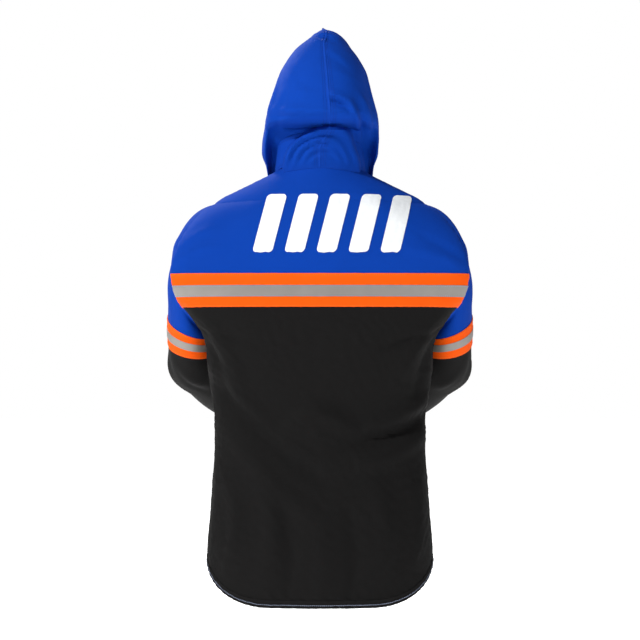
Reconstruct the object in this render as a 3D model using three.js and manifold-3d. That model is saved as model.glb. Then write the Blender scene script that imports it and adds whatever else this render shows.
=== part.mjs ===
// Hooded two-tone work jacket, held in the shape it has on a wearer whose arms reach forward.
// Millimetres. +Z is up, the front faces -Y and the wearer's left is +X.
// The origin is the middle of the neck at the collar seam.

import * as THREE from 'three';
import { mergeVertices } from 'three/addons/utils/BufferGeometryUtils.js';
import Module from 'manifold-3d';

const wasm = await Module();
wasm.setup();

// ---- driving dimensions ----

const CLOTH = 2.4;          // thickness of a cloth wall
const SEAM = 0.3;           // gap between two pieces that meet
const FAR = 2000;           // longer than anything in the model

const HEM_Z = -786;         // bottom of the shirt-tail hem
const HEM_CORNER_W = 116;   // width of the hem's round corner
const HEM_CORNER_H = 88;    // height of the hem's round corner
const SIDE_HALF = 206;      // half width of the body at the hem

const NECK_BACK_Y = 55;     // where the neck seam's plane crosses z = 0
const NECK_SLOPE = 0.3;     // drop of the neck seam for each unit towards the front
const FRONT_TOP_Y = -96;    // centre front at the neck seam
const FRONT_TOP_Z = -45;
const FRONT_LEAN = 0.036;   // how far the centre front leans out for each unit down

const TAPE_TOP_Z = -199;    // reflective tape round the body
const TAPE_WIDTH = 61;
const SILVER_WIDTH = 20;
const TAPE_THICK = 1.0;
const SILVER_THICK = 0.6;
const TAPE_END_GAP = 0.5;   // tape's end to the armhole seam
const YOKE_SEAM_Z = TAPE_TOP_Z - TAPE_WIDTH / 2;

const ARM_X = 196;          // middle of the armhole
const ARM_Z = -190;
const ARM_UP = 120;         // armhole above and below its middle
const ARM_DOWN = 100;
const ARM_HALF = 104;       // half width of the armhole in its own plane
const ARM_YAW = 42;         // degrees that the armhole plane faces forward
const SHOULDER_RANGE_GAP = 1.6;   // sleeve to body beside the armhole

const ELBOW = new THREE.Vector3(228, -102, -357);
const FOREARM_DIR = new THREE.Vector3(-0.46, -0.75, -0.47).normalize();
const FOREARM_LENGTH = 236;
const CUFF_LENGTH = 58;
const CUFF_RADIUS = 43;
const TAB_LENGTH_DEG = 74;
const TAB_WIDTH = 30;
const TAB_GAP = 0.5;        // cuff to tab

const COLLAR_HEIGHT = 52;
const COLLAR_HALF_W = 84;
const COLLAR_BACK = 62;
const HOOD_FACE_Y = -84;    // plane of the hood's face opening
const HOOD_BAND = 20;       // width of the hemmed band round the face opening

const ZIP_HALF = 13;        // half width of the front opening that the zip fills
const ZIP_RAIL_W = 3.2;
const ZIP_RAIL_T = 3.0;
const ZIP_TAPE_T = 1.0;
const SLIDER = { w: 12, h: 15, t: 8 };
const PULL = { w: 7, h: 30, t: 1.6 };
const FLAP_LEFT = 32;       // the storm flap's sewn edge, on the wearer's left
const FLAP_RIGHT = -28;
const FLAP_RISE = 11;       // how far the storm flap stands off the zip
const FLAP_T = 2.2;
const FLAP_SETTLE = 0.2;    // how far its edges follow the body's curve back
const FLAP_STUDS = 5;
const STUD_RADIUS = 7.5;
const STUD_HEIGHT = 2.6;

const POCKET_W = 110;
const POCKET_H = 138;
const POCKET_TOP_Z = -302;
const POCKET_DEPTH = 12;
const POCKET_WALL = 1.8;
const POCKET_FLAP_H = 50;
const POCKET_FLAP_OVERHANG = 4;
const POCKET_GAP = 1;       // storm flap to pocket flap
const POCKET_X = FLAP_LEFT + POCKET_GAP + POCKET_FLAP_OVERHANG + POCKET_W / 2;   // middle of a chest pocket

const AROUND_ARC = 7;       // steps on a quarter of the body
const SLEEVE_SIDES = 18;
const HOOD_SIDES = 24;
const STUD_SIDES = 10;

// ---- colours ----

const BLUE = [0x0b44ad, 0.82, 0];
const BLACK = [0x1c1b1b, 0.88, 0];
const ORANGE = [0xfb5d0c, 0.7, 0];
const SILVER = [0x9a9791, 0.45, 0.1];
const WHITE = [0xe9ecee, 0.6, 0];
const METAL = [0x8d9093, 0.35, 1];
const ZIP_CLOTH = [0x18181a, 0.85, 0];

// ---- solids ----

const solidFrom = (positions, triangles) => new wasm.Manifold(new wasm.Mesh({
  numProp: 3,
  vertProperties: new Float32Array(positions),
  triVerts: new Uint32Array(triangles),
}));

const rad = (deg) => deg * Math.PI / 180;

// A closed solid through rings of equally many points, each ring counter-clockwise about the way on.
function loft(rings) {
  const count = rings[0].length;
  const positions = [];
  const triangles = [];
  rings.forEach((ring) => ring.forEach((p) => positions.push(p.x, p.y, p.z)));
  for (let i = 0; i + 1 < rings.length; i += 1) {
    for (let j = 0; j < count; j += 1) {
      const a = i * count + j;
      const b = i * count + (j + 1) % count;
      triangles.push(a, b, b + count, a, b + count, a + count);
    }
  }
  [[0, true], [rings.length - 1, false]].forEach(([index, flip]) => {
    const middle = new THREE.Vector3();
    rings[index].forEach((p) => middle.add(p));
    middle.divideScalar(count);
    const hub = positions.length / 3;
    positions.push(middle.x, middle.y, middle.z);
    for (let j = 0; j < count; j += 1) {
      const a = index * count + j;
      const b = index * count + (j + 1) % count;
      triangles.push(hub, flip ? b : a, flip ? a : b);
    }
  });
  return solidFrom(positions, triangles);
}

// A solid from a three.js geometry, moved by a matrix.
function solid(geometry, matrix = new THREE.Matrix4()) {
  const bare = geometry.clone();
  bare.applyMatrix4(matrix);
  bare.deleteAttribute('normal');
  bare.deleteAttribute('uv');
  const merged = mergeVertices(bare, 1e-4);
  return solidFrom(merged.attributes.position.array, merged.index.array);
}

const moved = (x, y, z) => new THREE.Matrix4().makeTranslation(x, y, z);

// A block between two corners.
function block(low, high) {
  const size = high.map((v, i) => v - low[i]);
  const middle = high.map((v, i) => (v + low[i]) / 2);
  return solid(new THREE.BoxGeometry(...size), moved(...middle));
}

// A flat outline in X and Z, extruded along Y from one depth to another.
function plateXZ(shape, yLow, yHigh) {
  const geometry = new THREE.ExtrudeGeometry(shape, {
    depth: yHigh - yLow, bevelEnabled: false, curveSegments: 8,
  });
  const matrix = new THREE.Matrix4().makeRotationX(Math.PI / 2);
  matrix.premultiply(moved(0, yHigh, 0));
  return solid(geometry, matrix);
}

// A smooth value along a list of [place, value] pairs in falling order of place.
function along(pairs) {
  const rising = [...pairs].sort((a, b) => a[0] - b[0]);
  const slopes = rising.map((_, i) => {
    if (i === 0 || i === rising.length - 1) return 0;
    const left = (rising[i][1] - rising[i - 1][1]) / (rising[i][0] - rising[i - 1][0]);
    const right = (rising[i + 1][1] - rising[i][1]) / (rising[i + 1][0] - rising[i][0]);
    return left * right <= 0 ? 0 : (2 * left * right) / (left + right);
  });
  return (place) => {
    if (place <= rising[0][0]) return rising[0][1];
    if (place >= rising.at(-1)[0]) return rising.at(-1)[1];
    const i = rising.findIndex((pair) => pair[0] > place) - 1;
    const [x0, v0] = rising[i];
    const [x1, v1] = rising[i + 1];
    const h = x1 - x0;
    const t = (place - x0) / h;
    return v0 * (1 + 2 * t) * (1 - t) ** 2 + slopes[i] * h * t * (1 - t) ** 2
      + v1 * t * t * (3 - 2 * t) + slopes[i + 1] * h * t * t * (t - 1);
  };
}

// ---- the body of the jacket ----

const armOut = new THREE.Vector3(Math.cos(rad(ARM_YAW)), -Math.sin(rad(ARM_YAW)), 0);
const armBack = new THREE.Vector3(Math.sin(rad(ARM_YAW)), Math.cos(rad(ARM_YAW)), 0);

const bodyHalf = along([[16, 36], [3, 62], [-16, 91], [-32, 123], [-46, 152], [-60, 180], [-70, 192],
  [-84, ARM_X], [-290, ARM_X], [-320, 203], [-350, 205], [-389, 201], [-429, 195], [-460, 191],
  [-510, 191], [-573, 195], [-630, 199], [-690, SIDE_HALF - 2], [-830, SIDE_HALF]]);
const bodyBack = along([[16, 52], [0, 64], [-32, 80], [-75, 98], [-110, 109], [-150, 117], [-200, 121],
  [-250, 121], [-300, 117], [-400, 103], [-460, 97], [-550, 106], [-640, 117], [-700, 121], [-830, 122]]);
const sideY = along([[0, 0], [-290, 0], [-320, 10], [-360, 18], [-830, 20]]);
const frontSquare = along([[0, 2], [-50, 1.7], [-75, 1.5], [-125, 1.6], [-190, 2.1], [-260, 2.25], [-830, 2.3]]);
const backSquare = along([[0, 2], [-60, 1.8], [-110, 2], [-190, 2.25], [-250, 2.5], [-295, 3.3],
  [-340, 3], [-430, 2.4], [-830, 2.25]]);
const frontY = (z) => FRONT_TOP_Y + FRONT_LEAN * (z - FRONT_TOP_Z);

const BODY_LEVELS = [16, 0, -16, -34, -54, -70, -80, -96, -120, -155, -190, -230, -262, -282, -292,
  -318, -370, -450, -540, -640, -740, -830];

// Half width of the armhole, in its plane, at one height.
function armholeHalf(z) {
  const rise = (z - ARM_Z) / (z > ARM_Z ? ARM_UP : ARM_DOWN);
  const part = Math.abs(rise);
  if (part >= 1) return 0;
  return ARM_HALF * (rise > 0 ? (1 - part ** 1.6) ** 0.8 : Math.sqrt(1 - part * part));
}

// One level of the body, grown outward and lifted; through cuts open the armholes.
function bodyRing(level, grow, lift, through) {
  const z = level - lift;
  const hole = armholeHalf(z);
  const open = Math.min(1, hole / 10);
  const half = Math.max(1.5, hole + grow * open);
  const base = new THREE.Vector3(bodyHalf(z) + grow * (1 - open), sideY(z), level);
  base.addScaledVector(armOut, through * open);
  const back = base.clone().addScaledVector(armBack, half);
  const front = base.clone().addScaledVector(armBack, -half);
  const backTop = bodyBack(z) + grow;
  const frontTop = frontY(z) - grow;
  const roundFront = 2 / frontSquare(z);
  const roundBack = 2 / backSquare(z);
  const side = [];
  for (let i = 0; i <= AROUND_ARC; i += 1) {
    const u = (i / AROUND_ARC) * Math.PI / 2;
    side.push(new THREE.Vector3(front.x * Math.sin(u) ** roundFront,
      front.y + (frontTop - front.y) * Math.cos(u) ** roundFront, level));
  }
  side.push(base);
  for (let i = AROUND_ARC; i >= 0; i -= 1) {
    const u = (i / AROUND_ARC) * Math.PI / 2;
    side.push(new THREE.Vector3(back.x * Math.sin(u) ** roundBack,
      back.y + (backTop - back.y) * Math.cos(u) ** roundBack, level));
  }
  const mirror = side.slice(1, -1).reverse().map((p) => new THREE.Vector3(-p.x, p.y, p.z));
  return [...side, ...mirror];
}

const bodySolid = (grow, lift = grow, through = 0) => loft([...BODY_LEVELS].reverse()
  .map((level) => bodyRing(level, grow, lift, through)));

// Everything above the slanted plane of the neck seam, raised by a distance.
function aboveNeck(raise) {
  const block3 = new THREE.BoxGeometry(FAR, FAR, FAR);
  const matrix = moved(0, 0, FAR / 2);
  matrix.premultiply(new THREE.Matrix4().makeRotationX(Math.atan(NECK_SLOPE)));
  matrix.premultiply(moved(0, NECK_BACK_Y, raise));
  return solid(block3, matrix);
}

// The shirt-tail outline of the body, seen from the front.
function hemOutline() {
  const shape = new THREE.Shape();
  const half = SIDE_HALF + 20;
  const flat = SIDE_HALF - HEM_CORNER_W;
  const steps = 8;
  shape.moveTo(-300, 100);
  shape.lineTo(-300, HEM_Z + HEM_CORNER_H);
  shape.lineTo(-half, HEM_Z + HEM_CORNER_H);
  for (const side of [-1, 1]) {
    for (let i = 0; i <= steps; i += 1) {
      const u = (side < 0 ? i : steps - i) / steps * Math.PI / 2;
      shape.lineTo(side * (flat + HEM_CORNER_W * Math.cos(u) ** 0.9),
        HEM_Z + HEM_CORNER_H * (1 - Math.sin(u) ** 0.9));
    }
  }
  shape.lineTo(half, HEM_Z + HEM_CORNER_H);
  shape.lineTo(300, HEM_Z + HEM_CORNER_H);
  shape.lineTo(300, 100);
  return plateXZ(shape, -FAR / 2, FAR / 2);
}

const bodyOuter = bodySolid(0);
const bodyClear = bodySolid(SHOULDER_RANGE_GAP);
const bodyShell = bodyOuter.subtract(bodySolid(-CLOTH, -CLOTH, 6))
  .subtract(aboveNeck(0)).intersect(hemOutline());

// ---- naming and materials ----

const jacket = new THREE.Group();

// The largest body of a cut piece, without the slivers that a cut leaves.
function largest(body) {
  return body.decompose().reduce((best, next) => (next.volume() > best.volume() ? next : best));
}

function add(name, body, [colour, roughness, metalness]) {
  const { vertProperties, triVerts } = largest(body).getMesh();
  const geometry = new THREE.BufferGeometry();
  geometry.setAttribute('position', new THREE.BufferAttribute(new Float32Array(vertProperties), 3));
  geometry.setIndex(new THREE.BufferAttribute(new Uint32Array(triVerts), 1));
  const mesh = new THREE.Mesh(geometry, new THREE.MeshStandardMaterial({ color: colour, roughness, metalness }));
  mesh.name = name;
  jacket.add(mesh);
}

const SIDES = [['left', 1], ['right', -1]];

// A mirrored copy for the wearer's right.
const sided = (body, sign) => (sign > 0 ? body : body.mirror([1, 0, 0]));
const halfSpaceX = (sign, from) => block([sign > 0 ? from : -FAR / 2, -FAR / 2, -FAR / 2],
  [sign > 0 ? FAR / 2 : -from, FAR / 2, FAR / 2]);
const behind = (y) => block([-FAR / 2, y, -FAR / 2], [FAR / 2, FAR / 2, FAR / 2]);
const ahead = (y) => block([-FAR / 2, -FAR / 2, -FAR / 2], [FAR / 2, y, FAR / 2]);
const levels = (low, high) => block([-FAR / 2, -FAR / 2, low], [FAR / 2, FAR / 2, high]);

// ---- body panels ----

function bodyPanels() {
  const above = levels(YOKE_SEAM_Z + SEAM / 2, FAR / 2);
  const below = levels(-FAR / 2, YOKE_SEAM_Z - SEAM / 2);
  const back = bodyShell.intersect(behind(SEAM / 2));
  const front = bodyShell.intersect(ahead(-SEAM / 2));
  add('back_yoke', back.intersect(above), BLUE);
  add('back_panel', back.intersect(below), BLACK);
  SIDES.forEach(([side, sign]) => {
    const half = front.intersect(halfSpaceX(sign, ZIP_HALF + SEAM));
    add(`front_yoke_${side}`, half.intersect(above), BLUE);
    add(`front_panel_${side}`, half.intersect(below), BLACK);
  });
}

// A skin on the body between two distances from its surface, on one band of heights.
const bodySkin = (inner, outer, low, high) => bodySolid(outer, 0, 0)
  .subtract(bodySolid(inner, 0, 0)).intersect(levels(low, high));

function bodyTapes() {
  const bottom = TAPE_TOP_Z - TAPE_WIDTH;
  const silverTop = YOKE_SEAM_Z + SILVER_WIDTH / 2;
  const silverFrom = SEAM + TAPE_THICK + SEAM;
  const base = bodySkin(SEAM, SEAM + TAPE_THICK, bottom, TAPE_TOP_Z);
  const silver = bodySkin(silverFrom, silverFrom + SILVER_THICK, silverTop - SILVER_WIDTH, silverTop);
  const offArmhole = SIDES.map(([, sign]) => armholeKeepOut(sign));
  [['orange', base, ORANGE], ['silver', silver, SILVER]].forEach(([colour, skin, look]) => {
    const clear = offArmhole.reduce((left, keepOut) => left.subtract(keepOut), skin);
    add(`back_tape_${colour}`, clear.intersect(behind(SEAM / 2)), look);
    SIDES.forEach(([side, sign]) => {
      const half = clear.intersect(ahead(-SEAM / 2)).intersect(halfSpaceX(sign, FLAP_LEFT + 4));
      add(`front_tape_${side}_${colour}`, half, look);
    });
  });
}

// The space outside the armhole plane, where the sleeve begins.
function armholeKeepOut(sign) {
  const size = 4 * ARM_X;
  const matrix = moved(size / 2, 0, 0);
  matrix.premultiply(new THREE.Matrix4().makeRotationZ(-rad(ARM_YAW)));
  matrix.premultiply(moved(ARM_X, 0, ARM_Z));
  matrix.multiply(moved(-TAPE_END_GAP, 0, 0));
  return sided(solid(new THREE.BoxGeometry(size, size, size), matrix), sign);
}

// ---- sleeves, drawn for the wearer's left and mirrored ----

const V = (x, y, z) => new THREE.Vector3(x, y, z);
const elbowNormal = V(-0.02, -0.3, -0.95).normalize().add(FOREARM_DIR).normalize();
const elbowOuter = V(1, 0, 0).addScaledVector(elbowNormal, -elbowNormal.x).normalize();
const elbowBack = elbowOuter.clone().cross(elbowNormal);
const forearmOuter = V(1, 0, 0).addScaledVector(FOREARM_DIR, -FOREARM_DIR.x).normalize();
const forearmBack = forearmOuter.clone().cross(FOREARM_DIR);
const ELBOW_HALF = 56;
const ELBOW_DEPTH = 68;

// Upper sleeve rings: outermost point, innermost point, half depth and the way its back faces.
const UPPER = [
  { out: V(ARM_X, 0, ARM_Z + ARM_UP), in: V(ARM_X, 0, ARM_Z - ARM_DOWN), half: ARM_HALF, back: armBack },
  { out: V(215, -12, -79), in: V(197, -14, -292), half: 100, back: V(0.6, 0.8, -0.03) },
  { out: V(233, -22, -107), in: V(197, -28, -294), half: 95, back: V(0.52, 0.85, -0.06) },
  { out: V(251, -32, -146), in: V(196, -40, -296), half: 90, back: V(0.43, 0.9, -0.1) },
  { out: V(267, -41, -190), in: V(194, -50, -298), half: 86, back: V(0.34, 0.94, -0.14) },
  { out: V(277, -50, -232), in: V(192, -58, -301), half: 83, back: V(0.27, 0.96, -0.18) },
  { out: V(282, -58, -270), in: V(190, -65, -304), half: 81, back: V(0.22, 0.96, -0.22) },
  { out: V(283, -76, -318), in: V(186, -78, -333), half: 78, back: V(0.16, 0.94, -0.3) },
  { out: ELBOW.clone().addScaledVector(elbowOuter, ELBOW_HALF),
    in: ELBOW.clone().addScaledVector(elbowOuter, -ELBOW_HALF), half: ELBOW_DEPTH, back: elbowBack },
];
const TAPE_FROM = 6;        // the sleeve's tape runs from this ring to the next
const CAP_FULL = 0.9;       // fullness of the sleeve's section
const SLEEVE_PAST = 8;      // how far a sleeve's hollow runs past its open ends
const BLACK_LAP = 2;        // how far the black cloth runs up under the tape
const SLEEVE_SILVER_MARGIN = (TAPE_WIDTH - SILVER_WIDTH) / 2 - 4;   // orange beside the silver on the sleeve
const CUFF_THICK = CLOTH * 1.4;

function upperRing(ring, index, grow) {
  const middle = ring.out.clone().add(ring.in).multiplyScalar(0.5);
  const outward = ring.out.clone().sub(ring.in);
  const length = outward.length() / 2 + grow;
  outward.normalize();
  const back = ring.back.clone().addScaledVector(outward, -ring.back.dot(outward)).normalize();
  const egg = Math.max(0, 1 - index / 4);
  const points = [];
  for (let i = 0; i < SLEEVE_SIDES; i += 1) {
    const angle = (i / SLEEVE_SIDES) * Math.PI * 2;
    const up = Math.cos(angle);
    const part = Math.abs(up);
    const round = Math.sqrt(Math.max(0, 1 - part * part));
    const pointed = up > 0 ? Math.max(0, 1 - part ** 1.6) ** 0.8 : round;
    const wide = (round ** CAP_FULL) * (1 - egg) + pointed * egg;
    const shift = index === 0 ? (ARM_UP - ARM_DOWN) / 2 : 0;
    const height = index === 0 ? up * (up > 0 ? ARM_UP + grow : ARM_DOWN + grow) - shift : up * length;
    points.push(middle.clone().addScaledVector(outward, height)
      .addScaledVector(back, -Math.sign(Math.sin(angle)) * wide * (ring.half + grow)));
  }
  return points;
}

const FOREARM = [[0.001, 56, 68], [0.14, 58, 64], [0.34, 60, 61], [0.56, 57, 57], [0.8, 52, 52], [1, 46, 46]];

function forearmRing([part, half, depth], grow) {
  const turn = Math.min(1, part / 0.3);
  const outward = elbowOuter.clone().lerp(forearmOuter, turn).normalize();
  const back = elbowBack.clone().lerp(forearmBack, turn).normalize();
  const middle = ELBOW.clone().addScaledVector(FOREARM_DIR, part * FOREARM_LENGTH);
  const points = [];
  for (let i = 0; i < SLEEVE_SIDES; i += 1) {
    const angle = (i / SLEEVE_SIDES) * Math.PI * 2;
    points.push(middle.clone().addScaledVector(outward, Math.cos(angle) * (half + grow))
      .addScaledVector(back, -Math.sin(angle) * (depth + grow)));
  }
  return points;
}

// The same ring pushed along the sleeve, so that a cutter runs past an open end.
const pushed = (ring, way, distance) => ring.map((p) => p.clone().addScaledVector(way, distance));

function upperSolid(grow, past, from = 0, to = UPPER.length - 1) {
  const rings = UPPER.slice(from, to + 1).map((ring, i) => upperRing(ring, from + i, grow));
  if (past) {
    rings.unshift(pushed(rings[0], armOut, -past));
    rings.push(pushed(rings.at(-1), elbowNormal, past));
  }
  return loft(rings);
}

function forearmSolid(grow, past) {
  const rings = FOREARM.map((ring) => forearmRing(ring, grow));
  if (past) {
    rings.unshift(pushed(rings[0], elbowNormal, -past));
    rings.push(pushed(rings.at(-1), FOREARM_DIR, past));
  }
  return loft(rings);
}

// A large block whose flat face goes through a point and faces the given way.
function halfSpace(point, way) {
  const matrix = new THREE.Matrix4().makeTranslation(0, 0, FAR / 2);
  const turn = new THREE.Quaternion().setFromUnitVectors(V(0, 0, 1), way.clone().normalize());
  matrix.premultiply(new THREE.Matrix4().makeRotationFromQuaternion(turn));
  matrix.premultiply(moved(point.x, point.y, point.z));
  return solid(new THREE.BoxGeometry(FAR, FAR, FAR), matrix);
}

const beyond = (point, way, distance) => halfSpace(point.clone().addScaledVector(way, distance), way);

const armCentre = V(ARM_X, 0, ARM_Z);
const wrist = ELBOW.clone().addScaledVector(FOREARM_DIR, FOREARM_LENGTH);

// A plane across the sleeve at one of the upper rings.
function ringPlane(index) {
  const ring = UPPER[index];
  const outward = ring.out.clone().sub(ring.in).normalize();
  const back = ring.back.clone().addScaledVector(outward, -ring.back.dot(outward)).normalize();
  return { point: ring.out.clone().add(ring.in).multiplyScalar(0.5), way: back.cross(outward) };
}

// A skin round the sleeve between two distances from it, from one margin inside the tape to the other.
function sleeveBand(inner, outer, margin) {
  const top = ringPlane(TAPE_FROM);
  const end = ringPlane(TAPE_FROM + 1);
  return upperSolid(outer).subtract(upperSolid(inner, SLEEVE_PAST))
    .intersect(beyond(top.point, top.way, margin))
    .subtract(beyond(end.point, end.way, -margin)).subtract(bodyClear);
}

// A closed band at the wrist.
function cuffBand() {
  const ring = (part, grow) => forearmRing([1 + part * CUFF_LENGTH / FOREARM_LENGTH, CUFF_RADIUS, CUFF_RADIUS], grow);
  const hole = loft([ring(-0.1, -CUFF_THICK), ring(1.1, -CUFF_THICK)]);
  return loft([ring(0, 0), ring(1, 0)]).subtract(hole).intersect(beyond(wrist, FOREARM_DIR, SEAM));
}

function sleeves() {
  const tapeEnd = ringPlane(TAPE_FROM + 1);
  const shell = upperSolid(0).subtract(upperSolid(-CLOTH, SLEEVE_PAST))
    .intersect(beyond(armCentre, armOut, SEAM)).subtract(bodyClear);
  const lower = forearmSolid(0).subtract(forearmSolid(-CLOTH, SLEEVE_PAST))
    .intersect(beyond(ELBOW, elbowNormal, SEAM)).subtract(bodyClear);
  const silverFrom = SEAM + TAPE_THICK + SEAM;
  const pieces = [
    ['sleeve_upper', shell.subtract(beyond(tapeEnd.point, tapeEnd.way, -BLACK_LAP - SEAM / 2)), BLUE],
    ['sleeve_elbow', shell.intersect(beyond(tapeEnd.point, tapeEnd.way, SEAM / 2 - BLACK_LAP)), BLACK],
    ['sleeve_lower', lower, BLACK],
    ['cuff', cuffBand(), BLACK],
    ['cuff_tab', cuffTab(), BLACK],
    ['cuff_stud', cuffStud(), METAL],
  ];
  SIDES.forEach(([side, sign]) => {
    pieces.forEach(([name, body, look]) => add(`${name}_${side}`, sided(body, sign), look));
    add(`sleeve_tape_${side}_orange`, sided(sleeveBand(SEAM, SEAM + TAPE_THICK, 0), sign), ORANGE);
    const silver = sleeveBand(silverFrom, silverFrom + SILVER_THICK, SLEEVE_SILVER_MARGIN);
    add(`sleeve_tape_${side}_silver`, sided(silver, sign), SILVER);
  });
}

// A point on a cylinder round the cuff; angle zero faces outward and positive angles go forward and up.
function cuffPoint(angle, radius, distance) {
  return wrist.clone().addScaledVector(FOREARM_DIR, distance)
    .addScaledVector(forearmOuter, Math.cos(angle) * radius)
    .addScaledVector(forearmBack, -Math.sin(angle) * radius);
}

const TAB_FROM = rad(-40);
const TAB_TO = TAB_FROM + rad(TAB_LENGTH_DEG);

function cuffTab() {
  const low = CUFF_LENGTH / 2 - TAB_WIDTH / 2;
  const high = CUFF_LENGTH / 2 + TAB_WIDTH / 2;
  const steps = 8;
  const inner = CUFF_RADIUS + TAB_GAP;
  const rings = [];
  for (let i = 0; i <= steps; i += 1) {
    const angle = TAB_TO + (TAB_FROM - TAB_TO) * (i / steps);
    rings.push([cuffPoint(angle, inner, low), cuffPoint(angle, inner + CLOTH, low),
      cuffPoint(angle, inner + CLOTH, high), cuffPoint(angle, inner, high)]);
  }
  return loft(rings);
}

const STUD_ANGLE = TAB_TO - rad(13);

// A press-stud cap with a domed face, lying on a point and facing a way.
function stud(point, way) {
  const dome = [[0, 0], [STUD_RADIUS, 0], [STUD_RADIUS, STUD_HEIGHT * 0.45],
    [STUD_RADIUS * 0.8, STUD_HEIGHT * 0.85], [STUD_RADIUS * 0.4, STUD_HEIGHT], [0, STUD_HEIGHT]];
  const geometry = new THREE.LatheGeometry(dome.map(([r, h]) => new THREE.Vector2(r, h)), STUD_SIDES);
  const turn = new THREE.Quaternion().setFromUnitVectors(V(0, 1, 0), way.clone().normalize());
  const matrix = new THREE.Matrix4().makeRotationFromQuaternion(turn);
  matrix.premultiply(moved(point.x, point.y, point.z));
  return solid(geometry, matrix);
}

function cuffStud() {
  const at = cuffPoint(STUD_ANGLE, CUFF_RADIUS + TAB_GAP + CLOTH + SEAM, CUFF_LENGTH / 2);
  const centre = wrist.clone().addScaledVector(FOREARM_DIR, CUFF_LENGTH / 2);
  return stud(at, at.clone().sub(centre));
}

// ---- hood and collar ----

// Level, half width, rearmost y and foremost y of the hood.
const HOOD = [[-50, 92, 58, -96], [-24, 95, 64, -99], [0, 99, 74, -104], [24, 107, 80, -108], [44, 107, 84, -110],
  [62, 105, 94, -112], [70, 104, 108, -112], [84, 102, 119, -113], [110, 95, 124, -113], [139, 86, 123, -112],
  [167, 78, 117, -109], [190, 66, 107, -103], [210, 51, 92, -92], [226, 35, 74, -70], [238, 19, 54, -38],
  [246, 7, 38, -2]];

function hoodRing([z, half, back, front], grow) {
  const middle = (back + front) / 2;
  const depth = (back - front) / 2 + grow;
  const points = [];
  for (let i = 0; i < HOOD_SIDES; i += 1) {
    const angle = (i / HOOD_SIDES) * Math.PI * 2;
    const c = Math.cos(angle);
    const s = Math.sin(angle);
    points.push(V(Math.sign(c) * Math.abs(c) ** 0.87 * (half + grow),
      middle + Math.sign(s) * Math.abs(s) ** 0.87 * depth, z + (z > 230 ? grow : 0)));
  }
  return points;
}

const hoodSolid = (grow) => loft(HOOD.map((row) => hoodRing(row, grow)));

// The stand collar's outline, set in the slanted plane of the neck seam.
function collarRing(raise, grow) {
  const back = COLLAR_BACK - raise * 0.03;
  const front = FRONT_TOP_Y + FRONT_LEAN * raise;
  const points = [];
  for (let i = 0; i < HOOD_SIDES; i += 1) {
    const angle = (i / HOOD_SIDES) * Math.PI * 2;
    const c = Math.cos(angle);
    const s = Math.sin(angle);
    const y = (back + front) / 2 + Math.sign(s) * Math.abs(s) ** 0.85 * ((back - front) / 2 + grow);
    points.push(V(Math.sign(c) * Math.abs(c) ** 0.85 * (COLLAR_HALF_W - raise * 0.06 + grow), y,
      NECK_SLOPE * (y - NECK_BACK_Y) + raise));
  }
  return points;
}

function collarAndHood() {
  const collarTop = COLLAR_HEIGHT;
  const wall = loft([collarRing(SEAM, 0), collarRing(collarTop, 0)])
    .subtract(loft([collarRing(-20, -CLOTH), collarRing(collarTop + 20, -CLOTH)]));
  const zipGap = block([-ZIP_HALF - SEAM, -FAR / 2, -FAR / 2], [ZIP_HALF + SEAM, 0, FAR / 2]);
  const collar = wall.subtract(zipGap);
  add('collar_stand', collar, BLUE);
  const collarSpace = loft([collarRing(-40, 1.5), collarRing(collarTop + 2, 1.5)]);
  const shell = hoodSolid(0).subtract(hoodSolid(-CLOTH)).intersect(behind(HOOD_FACE_Y))
    .subtract(bodySolid(0.6)).intersect(aboveNeck(-14)).subtract(collarSpace);
  const bandLine = HOOD_FACE_Y + HOOD_BAND;
  SIDES.forEach(([side, sign]) => {
    add(`hood_${side}`, shell.intersect(behind(bandLine + SEAM / 2)).intersect(halfSpaceX(sign, SEAM / 2)), BLUE);
  });
  add('hood_face_band', shell.intersect(ahead(bandLine - SEAM / 2)), BLUE);
}

// ---- front closing, built in the leaning frame of the centre front ----

const lean = Math.atan(FRONT_LEAN);
const frontFrame = new THREE.Matrix4().makeTranslation(0, FRONT_TOP_Y, FRONT_TOP_Z)
  .multiply(new THREE.Matrix4().makeRotationX(lean * -1));
const frontLow = HEM_Z - FRONT_TOP_Z + 6;
const frontHigh = COLLAR_HEIGHT - 2;

const onFront = (body) => body.transform(frontFrame.elements);

function frontBlock(low, high) {
  return onFront(block(low, high));
}

function zip() {
  const back = CLOTH / 2 - ZIP_TAPE_T / 2;
  const chain = ZIP_RAIL_T / 2 - CLOTH / 2;
  SIDES.forEach(([side, sign]) => {
    const from = ZIP_RAIL_W + SEAM;
    const tape = sign > 0 ? [[from, back, frontLow], [ZIP_HALF, back + ZIP_TAPE_T, frontHigh]]
      : [[-ZIP_HALF, back, frontLow], [-from, back + ZIP_TAPE_T, frontHigh]];
    add(`zip_tape_${side}`, frontBlock(...tape), ZIP_CLOTH);
    const rail = sign > 0 ? [[SEAM / 2, -chain, frontLow + 12], [ZIP_RAIL_W, ZIP_RAIL_T - chain, frontHigh]]
      : [[-ZIP_RAIL_W, -chain, frontLow + 12], [-SEAM / 2, ZIP_RAIL_T - chain, frontHigh]];
    add(`zip_teeth_${side}`, frontBlock(...rail), METAL);
  });
  add('zip_bottom_box', frontBlock([-ZIP_RAIL_W - 2, -chain - 0.6, frontLow],
    [ZIP_RAIL_W + 2, -chain + back - SEAM + 0.3, frontLow + 12 - SEAM]), METAL);
  const face = -chain - SEAM;
  const top = frontHigh - 8;
  add('zip_slider', frontBlock([-SLIDER.w / 2, face - SLIDER.t * 0.4, top - SLIDER.h],
    [SLIDER.w / 2, face, top]), METAL);
  const pullY = face - SLIDER.t * 0.4 - SEAM;
  add('zip_pull', frontBlock([-PULL.w / 2, pullY - PULL.t, top - 4 - PULL.h],
    [PULL.w / 2, pullY, top - 4]), METAL);
}

const flapTop = -3;
const flapBottom = frontLow + 4;

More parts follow.
